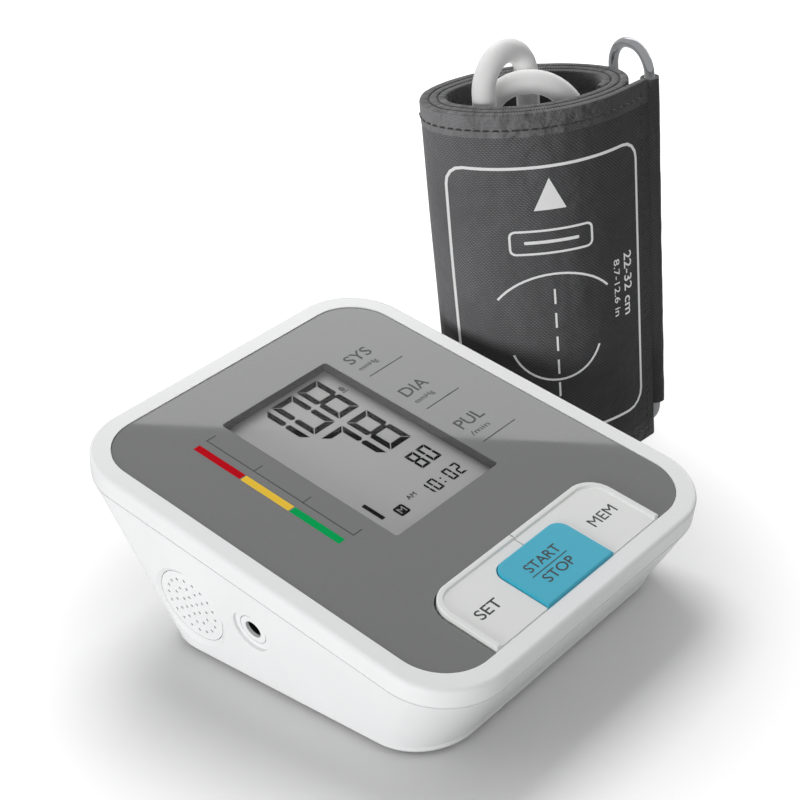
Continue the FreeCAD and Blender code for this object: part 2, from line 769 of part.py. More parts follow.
KEY_STEMS = {"set": "-stem_across", "start": "0", "memory": "stem_across"}
STEM_ALONG = f"({KEY_FRONT} + stem_setback)"
SWITCH_TOP = "(-board_drop + switch_height)"
PLUNGER_LOW = f"({SWITCH_TOP} - plunger_length / 2)"
switches = []
for name, across in KEY_STEMS.items():
    switches.append(cut(
        f"{name}_switch",
        box(f"{name}_switch_case", "switch_side", "switch_side", "switch_height", across, STEM_ALONG,
            "-board_drop"),
        cylinder(f"{name}_switch_bore", "plunger_radius + fit_gap",
                 "plunger_length / 2 + key_travel + fit_gap", across, STEM_ALONG,
                 f"{PLUNGER_LOW} - key_travel - fit_gap")))
    keep(f"{name}_plunger", on_plate(group(f"{name}_plunger_on_plate", cylinder(
        f"{name}_pin", "plunger_radius", "plunger_length", across, STEM_ALONG, PLUNGER_LOW))))
keep("tact_switches", on_plate(group("switch_set", *switches)))

CHIP_HEIGHT = "board_thickness"
CHIP_UNDER = f"({BOARD_UNDER} - {CHIP_HEIGHT})"
chips = []
for name, width, length, across in (
        ("processor", "2 * switch_side", "2 * switch_side", "0"),
        ("memory_chip", "switch_side", "1.5 * switch_side", "stem_across"),
        ("driver_chip", "1.5 * switch_side", "switch_side", "-stem_across")):
    chips.append(box(name, width, length, CHIP_HEIGHT, across, BOARD_MIDDLE, CHIP_UNDER))
keep("board_chips", on_plate(group("chip_set", *chips)))

# The air lines meet on one axis along X, behind the battery bay
AIR_ALONG = f"({BASE_BACK} - air_setback)"
AIR_ON_PLATE = f"({AIR_ALONG} * cos(plate_tilt) + (air_height - plate_height) * sin(plate_tilt))"
AIR_UNDER_PLATE = f"((air_height - plate_height) * cos(plate_tilt) - {AIR_ALONG} * sin(plate_tilt))"
SENSOR_UNDER = f"({BOARD_UNDER} - sensor_height)"
BRANCH_TOP = f"({AIR_UNDER_PLATE} + branch_reach)"
keep("pressure_sensor", on_plate(fuse(
    "sensor_on_plate",
    box("sensor_case", "sensor_side", "sensor_side", "sensor_height", "manifold_across", AIR_ON_PLATE,
        SENSOR_UNDER),
    cylinder("sensor_nozzle", "nozzle_radius", f"({SENSOR_UNDER} - {BRANCH_TOP}) / 2",
             "manifold_across", AIR_ON_PLATE, f"({SENSOR_UNDER} + {BRANCH_TOP}) / 2"))))
keep("sensor_tube", on_plate(cut(
    "sensor_sleeve",
    cylinder("sensor_sleeve_outside", "tube_radius", f"{SENSOR_UNDER} - {BRANCH_TOP}",
             "manifold_across", AIR_ON_PLATE, BRANCH_TOP),
    cylinder("sensor_sleeve_bore", "nozzle_radius", f"{SENSOR_UNDER} - {BRANCH_TOP}",
             "manifold_across", AIR_ON_PLATE, BRANCH_TOP))))

# Keys: a blue key in the middle and an L-shaped white key on each side of it

KEY_BOTTOM = "(key_proud - key_skirt)"
STEM_LOW = f"({SWITCH_TOP} + plunger_length / 2)"
BLUE_DEPTH = "blue_key_depth"


def add_stem(body, across):
    stem = new_sketch(body, body.Name + "_stem", STEM_LOW)
    circle(stem, "stem_radius", across, STEM_ALONG)
    pad(body, stem, f"{KEY_BOTTOM} - {STEM_LOW}")


blue_key = on_plate(new_body("start_stop_button"))
blue_outline = new_sketch(blue_key, "blue_outline", KEY_BOTTOM)
rectangle(blue_outline, "blue_key_width", f"{BLUE_DEPTH} - key_gap", "blue_key_corner",
          y=f"{KEY_FRONT} + key_gap / 2 + {BLUE_DEPTH} / 2", front_round=False)
pad(blue_key, blue_outline, "key_skirt")
ease_edges(blue_key, "Fillet", lies_at("key_proud"), Radius="key_round")
add_stem(blue_key, KEY_STEMS["start"])


def lip_foot(edge):
    """Whether an edge is one where a white key's dished floor meets its lip."""
    on_floor = lies_at("key_proud - key_dish")
    return on_floor(edge) and edge.BoundBox.YMax > value(f"{KEY_FRONT} + 2 * key_gap")


def side_key(label, side, across):
    """One white key: its half of the block, with the blue key's corner cut away."""
    body = on_plate(new_body(label))
    half_width = "(key_block_width / 2 - key_gap)"
    outline = new_sketch(body, label + "_outline", KEY_BOTTOM)
    rectangle(outline, f"2 * {half_width}", "key_block_depth - key_gap", "key_block_corner",
              y=f"{KEY_FRONT} + key_gap / 2 + key_block_depth / 2", front_round=False)
    pad(body, outline, "key_skirt")
    dish = new_sketch(body, label + "_dish", "key_proud")
    floor_depth = "(key_block_depth - key_lip)"
    rectangle(dish, f"2 * ({half_width} - key_lip)", floor_depth, "key_block_corner - key_lip",
              y=f"{KEY_FRONT} + {floor_depth} / 2", front_round=False)
    pocket(body, dish, "key_dish")
    ease_edges(body, "Fillet", lip_foot, Radius="(key_dish - key_round) / 2")
    other_half = new_sketch(body, label + "_other_half", KEY_BOTTOM)
    rectangle(other_half, f"{half_width} + key_gap", "2 * key_block_depth",
              x=f"{-side} * {half_width} / 2", y=KEY_FRONT)
    pocket(body, other_half, "key_skirt", upward=True)
    blue_room = new_sketch(body, label + "_blue_room", KEY_BOTTOM)
    rectangle(blue_room, "blue_key_width + 2 * key_gap", f"2 * ({BLUE_DEPTH} + key_gap)",
              "blue_key_corner + key_gap", y=KEY_FRONT)
    pocket(body, blue_room, "key_skirt", upward=True)
    ease_edges(body, "Fillet", lies_at("key_proud"), Radius="key_round")
    add_stem(body, across)


side_key("set_button", -1, KEY_STEMS["set"])
side_key("memory_button", 1, KEY_STEMS["memory"])

# Speaker behind its grille, on the left wall: the local Z axis points into the case

WALL_INSIDE = "(case_wall + 3 * fit_gap)"
RINGS = 3
grille = on_wall(new_body("speaker_grille"), *SPEAKER)
grille_disc = new_sketch(grille, "grille_disc", "grille_drop")
circle(grille_disc, "grille_radius")
pad(grille, grille_disc, f"{WALL_INSIDE} - grille_drop")
centre_hole = new_sketch(grille, "centre_hole", WALL_INSIDE)
circle(centre_hole, "pinhole_radius")
pocket(grille, centre_hole, WALL_INSIDE)
for ring in range(1, RINGS + 1):
    ring_hole = new_sketch(grille, f"ring_hole_{ring}", WALL_INSIDE)
    circle(ring_hole, "pinhole_radius", f"{ring} * pinhole_pitch")
    drilled = pocket(grille, ring_hole, WALL_INSIDE)
    doc.recompute()
    pattern = grille.newObject("PartDesign::PolarPattern", f"ring_pattern_{ring}")
    pattern.Originals = [drilled]
    pattern.Axis = (ring_hole, ["N_Axis"])
    pattern.Angle = 360
    pattern.Occurrences = 6 * ring
    grille.Tip = pattern

FLANGE_RADIUS = "(grille_radius + basket_flange)"
keep("speaker_basket", on_wall(cut(
    "basket_hollow",
    fuse("basket_solid",
         cylinder("basket_rim", FLANGE_RADIUS, "basket_flange", z=WALL_INSIDE),
         cylinder("basket_cup", "grille_radius", "basket_depth", z=WALL_INSIDE)),
    cylinder("basket_mouth", "grille_radius - basket_flange", "basket_depth - basket_flange",
             z=WALL_INSIDE)),
    *SPEAKER))
cone = doc.addObject("Part::Cone", "cone_paper")
bind(cone, Radius1="grille_radius - basket_flange - fit_gap", Radius2="magnet_radius / 2",
     Height="basket_depth - basket_flange")
place(cone, z=WALL_INSIDE)
keep("speaker_cone", on_wall(group("cone_on_wall", cone), *SPEAKER))
keep("speaker_magnet", on_wall(group("magnet_on_wall", cylinder(
    "magnet_disc", "magnet_radius", "magnet_height", z=f"{WALL_INSIDE} + basket_depth")), *SPEAKER))

# Air socket: a flanged tube through the left wall, with a seal ring and a barb for the inner tube

FLANGE_LEVEL = WALL_INSIDE
SOCKET_END = "(dish_depth + socket_length)"
keep("air_socket", on_wall(cut(
    "socket_bored",
    fuse("socket_solid",
         cylinder("socket_barrel", "socket_radius", "socket_length", z="dish_depth"),
         cylinder("socket_flange", "dish_radius", "dish_depth", z=FLANGE_LEVEL),
         cylinder("socket_barb", "barb_radius", "barb_length", z=SOCKET_END)),
    cylinder("socket_bore_cut", "socket_bore", "socket_length - case_wall", z="dish_depth"),
    cylinder("barb_bore_cut", "barb_radius / 2", "socket_length + barb_length", z="dish_depth")),
    *SOCKET))
SEAL_LEVEL = f"({FLANGE_LEVEL} + dish_depth + fit_gap)"
keep("socket_seal", on_wall(cut(
    "seal_ring",
    cylinder("seal_disc", "dish_radius", "dish_depth", z=SEAL_LEVEL),
    cylinder("seal_hole", "socket_radius + fit_gap", "dish_depth", z=SEAL_LEVEL)), *SOCKET))

# Pump, valve and manifold behind the bay

MOTOR_X = "motor_start"
HEAD_X = f"({MOTOR_X} - head_length)"
NOZZLE_X = f"({HEAD_X} - nozzle_length)"
AIR_AXIS = {"y": AIR_ALONG, "z": "air_height", "along": "X"}
keep("pump_motor", fuse(
    "motor_solid",
    cylinder("motor_can", "motor_radius", "motor_length", x=MOTOR_X, **AIR_AXIS),
    cylinder("motor_bush", "motor_radius / 3", "fit_gap * 10", x=f"{MOTOR_X} + motor_length", **AIR_AXIS)))
keep("pump_head", fuse(
    "head_solid",
    cylinder("head_can", "head_radius", "head_length", x=HEAD_X, **AIR_AXIS),
    cylinder("head_nozzle", "nozzle_radius", "nozzle_length", x=NOZZLE_X, **AIR_AXIS)))
SADDLE_X = f"({MOTOR_X} + motor_length / 2)"
SADDLE_ALONG = f"({BASE_BACK} - saddle_setback)"
keep("pump_saddle", cut(
    "saddle_cut",
    box("saddle_block", "saddle_length", "saddle_depth", f"air_height - motor_radius / 3 - {FLOOR_LEVEL}",
        SADDLE_X, SADDLE_ALONG, FLOOR_LEVEL),
    cylinder("saddle_groove", "motor_radius + fit_gap", "2 * saddle_length",
             x=f"{SADDLE_X} - saddle_length", **AIR_AXIS)))

MANIFOLD_END = "(manifold_across + manifold_length / 2)"
manifold_pipe = cylinder("manifold_pipe", "manifold_radius", "manifold_length",
                         x="manifold_across - manifold_length / 2", **AIR_AXIS)
down_branch = cylinder("down_branch", "nozzle_radius", "branch_reach", "manifold_across", AIR_ALONG,
                       "air_height - branch_reach")
front_branch = cylinder("front_branch", "nozzle_radius", "branch_reach", "manifold_across",
                        f"{AIR_ALONG} - branch_reach", "air_height", along="Y")
up_branch = on_plate(group("up_branch", cylinder(
    "up_branch_pipe", "nozzle_radius", "branch_reach", "manifold_across", AIR_ON_PLATE, AIR_UNDER_PLATE)))
keep("air_manifold", fuse("manifold_solid", manifold_pipe, down_branch, front_branch, up_branch))

VALVE_TOP = f"({FLOOR_LEVEL} + valve_height)"
keep("release_valve", fuse(
    "valve_solid",
    box("valve_case", "valve_width", "valve_depth", "valve_height", "manifold_across", SADDLE_ALONG,
        FLOOR_LEVEL),
    cylinder("valve_nozzle", "nozzle_radius", f"(air_height - branch_reach - {VALVE_TOP}) / 2",
             "manifold_across", AIR_ALONG, VALVE_TOP)))
keep("valve_tube", cut(
    "valve_sleeve",
    cylinder("valve_sleeve_outside", "tube_radius", f"air_height - branch_reach - {VALVE_TOP}",
             "manifold_across", AIR_ALONG, VALVE_TOP),
    cylinder("valve_sleeve_bore", "nozzle_radius", f"air_height - branch_reach - {VALVE_TOP}",
             "manifold_across", AIR_ALONG, VALVE_TOP)))
PUMP_TUBE = f"({HEAD_X} - {MANIFOLD_END})"
keep("pump_tube", cut(
    "pump_sleeve",
    cylinder("pump_sleeve_outside", "tube_radius", PUMP_TUBE, x=MANIFOLD_END, **AIR_AXIS),
    cylinder("pump_sleeve_bore", "nozzle_radius", PUMP_TUBE, x=MANIFOLD_END, **AIR_AXIS)))

# The tube from the manifold's front branch to the socket's barb, in gentle bends
lean = math.radians(value(wall_lean(SOCKET[0])))
into_case = Vector(math.cos(lean), 0, math.sin(lean))
socket_face = Vector(value(wall_x(*SOCKET)), value(SOCKET[0]), value(SOCKET[1]))
barb_tip = socket_face + into_case * value(f"{SOCKET_END} + barb_length")
branch_tip = Vector(value("manifold_across"), value(f"{AIR_ALONG} - branch_reach"), value("air_height"))
lead = value("4 * tube_radius")
tube_path = rounded_path([branch_tip, branch_tip - Y_AXIS * lead, barb_tip + into_case * lead, barb_tip],
                         [lead, 0.8 * lead])
solid("socket_tube", swept_tube(tube_path, value("tube_radius")))

# Battery cells, their contacts and the door

CELL_LEVEL = "(foot_height + door_thickness + 2 * fit_gap + cell_radius)"
CELLS = int(value("cell_count"))
cells = []
contacts = []
springs = []
for index in range(CELLS):
    facing = 1 if index % 2 == 0 else -1
    across = f"({index} - (cell_count - 1) / 2) * cell_pitch"
    contact_face = f"({BAY_MIDDLE} + {facing} * ({BAY_LENGTH} / 2 - fit_gap - contact_thickness))"
    nub_start = f"({contact_face} - {facing} * nub_length)"
    cell_end = f"({contact_face} - {facing} * cell_length)"
    cells.append(fuse(
        f"cell_{index}",
        cylinder(f"can_{index}", "cell_radius", "cell_length - nub_length", across,
                 cell_end if facing > 0 else nub_start, CELL_LEVEL, along="Y"),
        cylinder(f"nub_{index}", "nub_radius", "nub_length", across,
                 nub_start if facing > 0 else contact_face, CELL_LEVEL, along="Y")))
    contacts.append(box(f"contact_{index}", "contact_width", "contact_thickness", "contact_width", across,
                        f"{contact_face} + {facing} * contact_thickness / 2",
                        f"{CELL_LEVEL} - contact_width / 2"))
    leaf = doc.addObject("Part::Wedge", f"leaf_{index}")
    bind(leaf, Xmin="0", Xmax="contact_width", Ymin="0", Ymax="spring_reach - 2 * fit_gap", Zmin="0",
         Zmax="contact_width", X2min="0", X2max="contact_width", Z2min="contact_width * 0.45",
         Z2max="contact_width * 0.55")
    hollow = doc.addObject("Part::Wedge", f"leaf_hollow_{index}")
    bind(hollow, Xmin="-1", Xmax="contact_width + 1", Ymin="0",
         Ymax="spring_reach - 2 * fit_gap - 3 * contact_thickness", Zmin="contact_thickness",
         Zmax="contact_width - contact_thickness", X2min="-1", X2max="contact_width + 1",
         Z2min="contact_width * 0.48", Z2max="contact_width * 0.52")
    spring = cut(f"spring_{index}", leaf, hollow)
    spring_wall = f"{BAY_MIDDLE} - {facing} * ({BAY_LENGTH} / 2 - fit_gap)"
    if facing > 0:
        place(spring, f"{across} - contact_width / 2", spring_wall, f"{CELL_LEVEL} - contact_width / 2")
    else:
        place(spring, f"{across} + contact_width / 2", spring_wall, f"{CELL_LEVEL} - contact_width / 2",
              Z_AXIS, "180")
    springs.append(spring)
keep("aa_cells", group("cell_set", *cells))
keep("battery_contacts", group("contact_set", *contacts))
keep("battery_springs", group("spring_set", *springs))

door = new_body("battery_door")
door_outline = new_sketch(door, "door_outline", BASE_LEVEL)
rectangle(door_outline, DOOR_WIDTH, DOOR_LENGTH, y=BAY_MIDDLE)
pad(door, door_outline, "door_thickness")
DOOR_FRONT = value(f"{BAY_MIDDLE} - {DOOR_LENGTH} / 2")
ease_edges(door, "Fillet", lambda edge: near(edge.BoundBox.YMin, DOOR_FRONT)
           and near(edge.BoundBox.YMax, DOOR_FRONT) and edge.BoundBox.XLength > 1,
           Radius="door_thickness / 2.05")
latch_slits = new_sketch(door, "latch_slits", BASE_LEVEL)
for side in (-1, 1):
    rectangle(latch_slits, "latch_slit", "2 * latch_length", x=f"{side} * latch_width / 2",
              y=f"{BAY_MIDDLE} + {DOOR_LENGTH} / 2")
pocket(door, latch_slits, "door_thickness", upward=True)
finger_notch = new_sketch(door, "finger_notch", BASE_LEVEL)
rectangle(finger_notch, "latch_width - 4 * latch_slit", "latch_length / 2", "latch_slit",
          y=f"{BAY_MIDDLE} + {DOOR_LENGTH} / 2 - latch_length / 2")
pocket(door, finger_notch, "door_thickness / 2", upward=True)

# Rolled cuff: arcs about an oval that step inwards by a quarter of the layer pitch at each join

half_long = value("roll_width / 2 - strip_thickness / 2")
half_short = value("roll_depth / 2 - strip_thickness / 2")
end_radius = value("roll_end_radius")
end_offset = half_long - end_radius
side_radius = (end_offset ** 2 + half_short ** 2 - end_radius ** 2) / (2 * (half_short - end_radius))
join_angle = math.atan2(side_radius - half_short, end_offset)
step_in = value("(strip_thickness + layer_gap) / 4")


def heading(angle):
    return Vector(math.cos(angle), math.sin(angle), 0)


roll_start = Vector(end_offset, 0, 0) + heading(-join_angle) * end_radius
roll = []
point = roll_start
angle = -join_angle
for index in range(int(value("roll_arc_count"))):
    along_side = index % 2 == 0
    radius = (side_radius if along_side else end_radius) - index * step_in
    sweep = math.pi - 2 * join_angle if along_side else 2 * join_angle
    centre = point - heading(angle) * radius
    roll.append((centre, radius, angle, angle - sweep))
    angle -= sweep
    point = centre + heading(angle) * radius
strip_length = sum(radius * (first - last) for _, radius, first, last in roll) + value("tail_length")
print(f"cuff strip length {strip_length:.0f}")


def band(arcs, thickness, low, high):
    """A layer of the given thickness about the mid-line arcs, standing from low to high."""
    outer = []
    inner = []
    for centre, radius, first, last in arcs:
        for edges, reach in ((outer, radius + thickness / 2), (inner, radius - thickness / 2)):
            points = [centre + heading(turn) * reach for turn in (first, (first + last) / 2, last)]
            edges.append(Part.Arc(*points).toShape())
    corners = []
    for (centre, radius, first, last), at_start in ((arcs[0], True), (arcs[-1], False)):
        across_end = heading(first if at_start else last)
        corners.append(Part.LineSegment(centre + across_end * (radius - thickness / 2),
                                        centre + across_end * (radius + thickness / 2)).toShape())
    outline = Part.Wire(Part.__sortEdges__(outer + inner + corners))
    face = Part.Face(outline)
    face.translate(Vector(0, 0, low))
    return face.extrude(Vector(0, 0, high - low))


strip = value("strip_thickness")
cuff_height = value("cuff_height")
tail_heading = Vector(math.sin(join_angle), math.cos(join_angle), 0)
hem_centre = roll_start + tail_heading * value("tail_length")
across_tail = heading(-join_angle) * strip
tail_end = roll_start + tail_heading * value("tail_length - hem_radius + (hem_radius - hem_bore) / 3")
tail_corner = roll_start - across_tail / 2
tail = Part.Face(Part.makePolygon([
    tail_corner, tail_corner + across_tail,
    tail_end + across_tail / 2, tail_end - across_tail / 2, tail_corner]))
hem_low = Vector(hem_centre.x, hem_centre.y, value("hem_start"))
hem_height = cuff_height - value("hem_start")
bladder_arcs = roll[5:9]
margin = value("pocket_margin")

wrap = band(roll, strip, 0, cuff_height)
wrap = wrap.fuse([tail.extrude(Vector(0, 0, cuff_height)),
                  Part.makeCylinder(value("hem_radius"), hem_height, hem_low)]).removeSplitter()
wrap = wrap.cut(Part.makeCylinder(value("hem_bore"), hem_height, hem_low))
wrap = wrap.cut(band(bladder_arcs, value("pocket_thickness"), margin, cuff_height - margin))

# Hose route in the cuff's frame: up from the elbow, over, down, round, over again and down.
# Its four upright runs are set off from the faces of the roll's hollow by multiples of its radius
hose_radius = value("hose_radius")
innermost = {}
for index, arc in enumerate(roll):
    innermost[index % 4] = arc


def hollow_face(side, turn):
    """The place on the hollow's face that lies in the direction of a turn, in degrees."""
    centre, radius, _, _ = innermost[side]
    return centre + heading(math.radians(turn)) * (radius - strip / 2)


hollow_front = hollow_face(0, -90).y
hollow_left = hollow_face(1, 180).x
hollow_back = hollow_face(2, 90).y
hollow_right = hollow_face(3, 0).x
elbow_run = Vector(hollow_left + 3.1 * hose_radius, hollow_front + 2.7 * hose_radius, 0)
back_run = Vector(elbow_run.x + 4.1 * hose_radius, hollow_back - 1.25 * hose_radius, 0)
left_run = Vector(elbow_run.x, elbow_run.y + 2.7 * hose_radius, 0)
plug_run = Vector(hollow_right - 2.3 * hose_radius, left_run.y - 1.85 * hose_radius, 0)
elbow_layer = innermost[0]
elbow_line = (elbow_run - elbow_layer[0]).normalize()
wall_face = elbow_layer[1] - strip / 2
pocket_face = elbow_layer[1] - value("pocket_thickness / 2")
port_height = Vector(0, 0, value("elbow_port"))


def port_rod(radius, start, end):
    """A rod along the elbow's port, between two distances from the layer's centre."""
    rod_start = elbow_layer[0] + elbow_line * start + port_height
    return Part.makeCylinder(radius, end - start, rod_start, elbow_line)


port_radius = value("elbow_radius / 2")
wrap = wrap.cut(port_rod(port_radius + value("fit_gap"), wall_face - strip, pocket_face + value("fit_gap")))
in_cuff(solid("cuff_wrap", wrap))

trim = math.radians(1)
bladder_parts = list(bladder_arcs)
first_arc = bladder_parts[0]
last_arc = bladder_parts[-1]
bladder_parts[0] = (first_arc[0], first_arc[1], first_arc[2] - trim, first_arc[3])
bladder_parts[-1] = (last_arc[0], last_arc[1], last_arc[2], last_arc[3] + trim)
bladder_margin = margin + value("fit_gap")
in_cuff(solid("bladder", band(bladder_parts, value("bladder_thickness"), bladder_margin,
                              cuff_height - bladder_margin)))

flange_face = math.sqrt(wall_face ** 2 - value("elbow_flange_radius") ** 2) - value("fit_gap")
flange_back = flange_face - value("elbow_flange")
elbow = port_rod(port_radius, (elbow_run - elbow_layer[0]).Length, pocket_face - value("fit_gap"))
elbow = elbow.fuse([
    port_rod(value("elbow_flange_radius"), flange_back, flange_face),
    Part.makeCylinder(value("elbow_radius"), value("elbow_top - elbow_low"),
                      elbow_run + Vector(0, 0, value("elbow_low")))]).removeSplitter()
in_cuff(solid("hose_elbow", elbow))


def hose_half_turn(start, end, level, upward):
    """Two quarter arcs that carry the hose from one run to the next."""
    middle = (start + end) / 2
    reach = (end - start).Length / 2
    lift = reach if upward else -reach
    top = Vector(middle.x, middle.y, level)
    low = level - lift
    half = math.sqrt(0.5)
    first_end = Vector(start.x, start.y, low)
    last_end = Vector(end.x, end.y, low)
    centre = Vector(middle.x, middle.y, low)
    arcs = []
    for corner, (near_end, far_end) in ((first_end, (first_end, top)), (last_end, (top, last_end))):
        between = centre + (corner - centre) * half + (top - centre) * half
        arcs.append(Part.Arc(near_end, between, far_end).toShape())
    return arcs


turns = [
    hose_half_turn(elbow_run, back_run, value("hose_tall_arch"), True),
    hose_half_turn(back_run, left_run, value("hose_low_turn"), False),
    hose_half_turn(left_run, plug_run, value("hose_broad_arch"), True),
]
hose_start = elbow_run + Vector(0, 0, value("elbow_top"))
hose_end = plug_run + Vector(0, 0, value("plug_top"))
hose_edges = []
last_point = hose_start
for turn in turns:
    turn_start = turn[0].Vertexes[0].Point
    hose_edges.append(Part.LineSegment(last_point, turn_start).toShape())
    hose_edges.extend(turn)
    last_point = turn[1].Vertexes[-1].Point
hose_edges.append(Part.LineSegment(last_point, hose_end).toShape())
hose_path = Part.Wire(hose_edges)
print("hose arc radii", [round(turn[0].Curve.Radius, 1) for turn in turns])
in_cuff(solid("air_hose", swept_tube(hose_path, hose_radius)))

# The least gap of the hose to itself, measured between points along its mid-line
hose_points = hose_path.discretize(Distance=2)
apart = math.ceil(3 * math.pi * hose_radius / 2)
least = min((first - second).Length for index, first in enumerate(hose_points)
            for second in hose_points[index + apart:])
print(f"hose least gap to itself {least - 2 * hose_radius:.2f}")

plug_top = plug_run + Vector(0, 0, value("plug_top"))
grip_low = plug_top - Vector(0, 0, value("plug_grip_length"))
tip_low = grip_low - Vector(0, 0, value("plug_tip_length"))
tip_radius = value("plug_tip_radius")
half_grip = value("plug_grip_length / 2")
plug = Part.makeCone(value("plug_grip_radius"), hose_radius + value("fit_gap"), half_grip,
                     grip_low + Vector(0, 0, half_grip))
plug = plug.fuse([
    Part.makeCylinder(value("plug_grip_radius"), half_grip, grip_low),
    Part.makeCylinder(tip_radius, value("plug_tip_length"), tip_low)]).removeSplitter()
in_cuff(solid("air_plug", plug))

# Ring: a bent wire loop with one long leg in the hem, resting against the second layer

second_layer = roll[3]
to_layer = second_layer[0] - hem_centre
ring_clear = second_layer[1] + value("strip_thickness / 2 + ring_wire_radius + 2 * fit_gap")
ring_angle = math.atan2(to_layer.y, to_layer.x) - math.asin(ring_clear / to_layer.Length)
ring = new_body("d_ring")
ring_path = new_sketch(ring, "ring_path", plane="XZ_Plane")
rectangle(ring_path, "ring_width", "ring_height", "ring_corner", x="ring_width / 2",
          y="ring_rest + ring_wire_radius + ring_height / 2")
ring_section = new_sketch(ring, "ring_section", "ring_rest + ring_wire_radius + ring_height / 2")
circle(ring_section, "ring_wire_radius")
doc.recompute()
ring_wire = ring.newObject("PartDesign::AdditivePipe", "ring_wire")
ring_wire.Profile = ring_section
ring_wire.Spine = ring_path
cuff_angle = math.radians(value("cuff_turn"))
cuff_place = FreeCAD.Placement(Vector(value(CUFF_X), value("cuff_y"), 0),
                               FreeCAD.Rotation(Z_AXIS, value("cuff_turn")))
ring.Placement = FreeCAD.Placement(cuff_place.multVec(hem_centre),
                                   FreeCAD.Rotation(Z_AXIS, math.degrees(cuff_angle + ring_angle)))

# Check every object, then write each piece

doc.recompute()
for thing in doc.Objects:
    if "Invalid" in thing.State or "Error" in thing.State:
        raise RuntimeError(f"{thing.Label} failed: {thing.State}")
for label, piece in pieces.items():
    if piece.Shape.isNull() or not piece.Shape.isValid() or not piece.Shape.Solids:
        raise RuntimeError(f"{label} has no valid solid")
os.makedirs("parts", exist_ok=True)
for label, piece in pieces.items():
    piece.Shape.exportStep(f"parts/{label}.step")
print(f"{len(pieces)} pieces written")
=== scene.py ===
import math

import bpy
from mathutils import Matrix, Vector, noise


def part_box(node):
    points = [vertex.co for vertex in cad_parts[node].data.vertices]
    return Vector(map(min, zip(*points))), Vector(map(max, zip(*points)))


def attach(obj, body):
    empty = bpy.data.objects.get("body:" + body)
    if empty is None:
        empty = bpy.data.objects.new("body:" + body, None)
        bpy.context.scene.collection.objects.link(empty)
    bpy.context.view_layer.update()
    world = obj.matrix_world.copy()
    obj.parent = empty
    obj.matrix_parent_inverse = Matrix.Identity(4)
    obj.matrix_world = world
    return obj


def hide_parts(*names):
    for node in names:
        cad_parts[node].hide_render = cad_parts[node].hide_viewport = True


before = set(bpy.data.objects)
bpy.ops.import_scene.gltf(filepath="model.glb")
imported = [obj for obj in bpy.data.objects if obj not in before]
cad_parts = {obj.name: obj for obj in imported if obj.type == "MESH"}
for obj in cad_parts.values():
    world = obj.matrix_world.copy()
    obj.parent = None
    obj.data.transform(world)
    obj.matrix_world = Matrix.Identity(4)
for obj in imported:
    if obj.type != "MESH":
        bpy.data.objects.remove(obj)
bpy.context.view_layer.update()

# Camera: it stands where the photograph was taken from, drawn back a little so that the whole cuff is in
# the picture, with the lens shifted to keep the monitor low in the frame.
MM = 0.001
EYE = Vector((-272.7, -275.2, 283.3)) * MM
EYE_RIGHT = Vector((0.6584, -0.7459, -0.1003))
EYE_UP = Vector((0.4621, 0.2954, 0.8363))
LENS = 73.7
SENSOR = 36
FRAME_LIFT = 0.12
NEAREST = 20 * MM
camera_data = bpy.data.cameras.new("camera")
camera_data.sensor_width = SENSOR
camera_data.lens = LENS
camera_data.shift_y = FRAME_LIFT
camera_data.clip_start = NEAREST
camera = bpy.data.objects.new("camera", camera_data)
bpy.context.scene.collection.objects.link(camera)
camera.matrix_world = Matrix((EYE_RIGHT, EYE_UP, EYE_RIGHT.cross(EYE_UP))).transposed().to_4x4()
camera.location = EYE
bpy.context.scene.camera = camera
bpy.context.scene.view_settings.view_transform = "Standard"

# White room: what the camera, glossy faces and clear pieces see all round. It is white to them, and
# lights everything else with a weaker, even light.
WHITE = (1, 1, 1, 1)
WHITE_ROOM = 1.0
ROOM_LIGHT = 0.32
world = bpy.data.worlds.new("white_room")
bpy.context.scene.world = world
world.use_nodes = True
room = world.node_tree
path = room.nodes.new("ShaderNodeLightPath")
straight = room.nodes.new("ShaderNodeMath")
straight.operation = "MAXIMUM"
room.links.new(path.outputs["Is Camera Ray"], straight.inputs[0])
room.links.new(path.outputs["Is Glossy Ray"], straight.inputs[1])
through = room.nodes.new("ShaderNodeMath")
through.operation = "MAXIMUM"
room.links.new(straight.outputs[0], through.inputs[0])
room.links.new(path.outputs["Is Transmission Ray"], through.inputs[1])
level = room.nodes.new("ShaderNodeMapRange")
level.inputs["To Min"].default_value = ROOM_LIGHT
level.inputs["To Max"].default_value = WHITE_ROOM
room.links.new(through.outputs[0], level.inputs["Value"])
room.links.new(level.outputs["Result"], room.nodes["Background"].inputs["Strength"])
room.nodes["Background"].inputs["Color"].default_value = WHITE


# Floor: a plain pale sheet without gloss, which takes the monitor's shadow. For the camera alone it
# brightens away from the monitor, until it meets the white of the room.
def new_finish(name):
    """A node material with its shader, and functions that add a node and a link to it."""
    material = bpy.data.materials.new(name)
    material.use_nodes = True
    tree = material.node_tree

    def node(kind, **inputs):
        made = tree.nodes.new("ShaderNode" + kind)
        for socket, setting in inputs.items():
            made.inputs[socket.replace("_", " ")].default_value = setting
        return made

    return material, tree.nodes["Principled BSDF"], node, tree.links.new


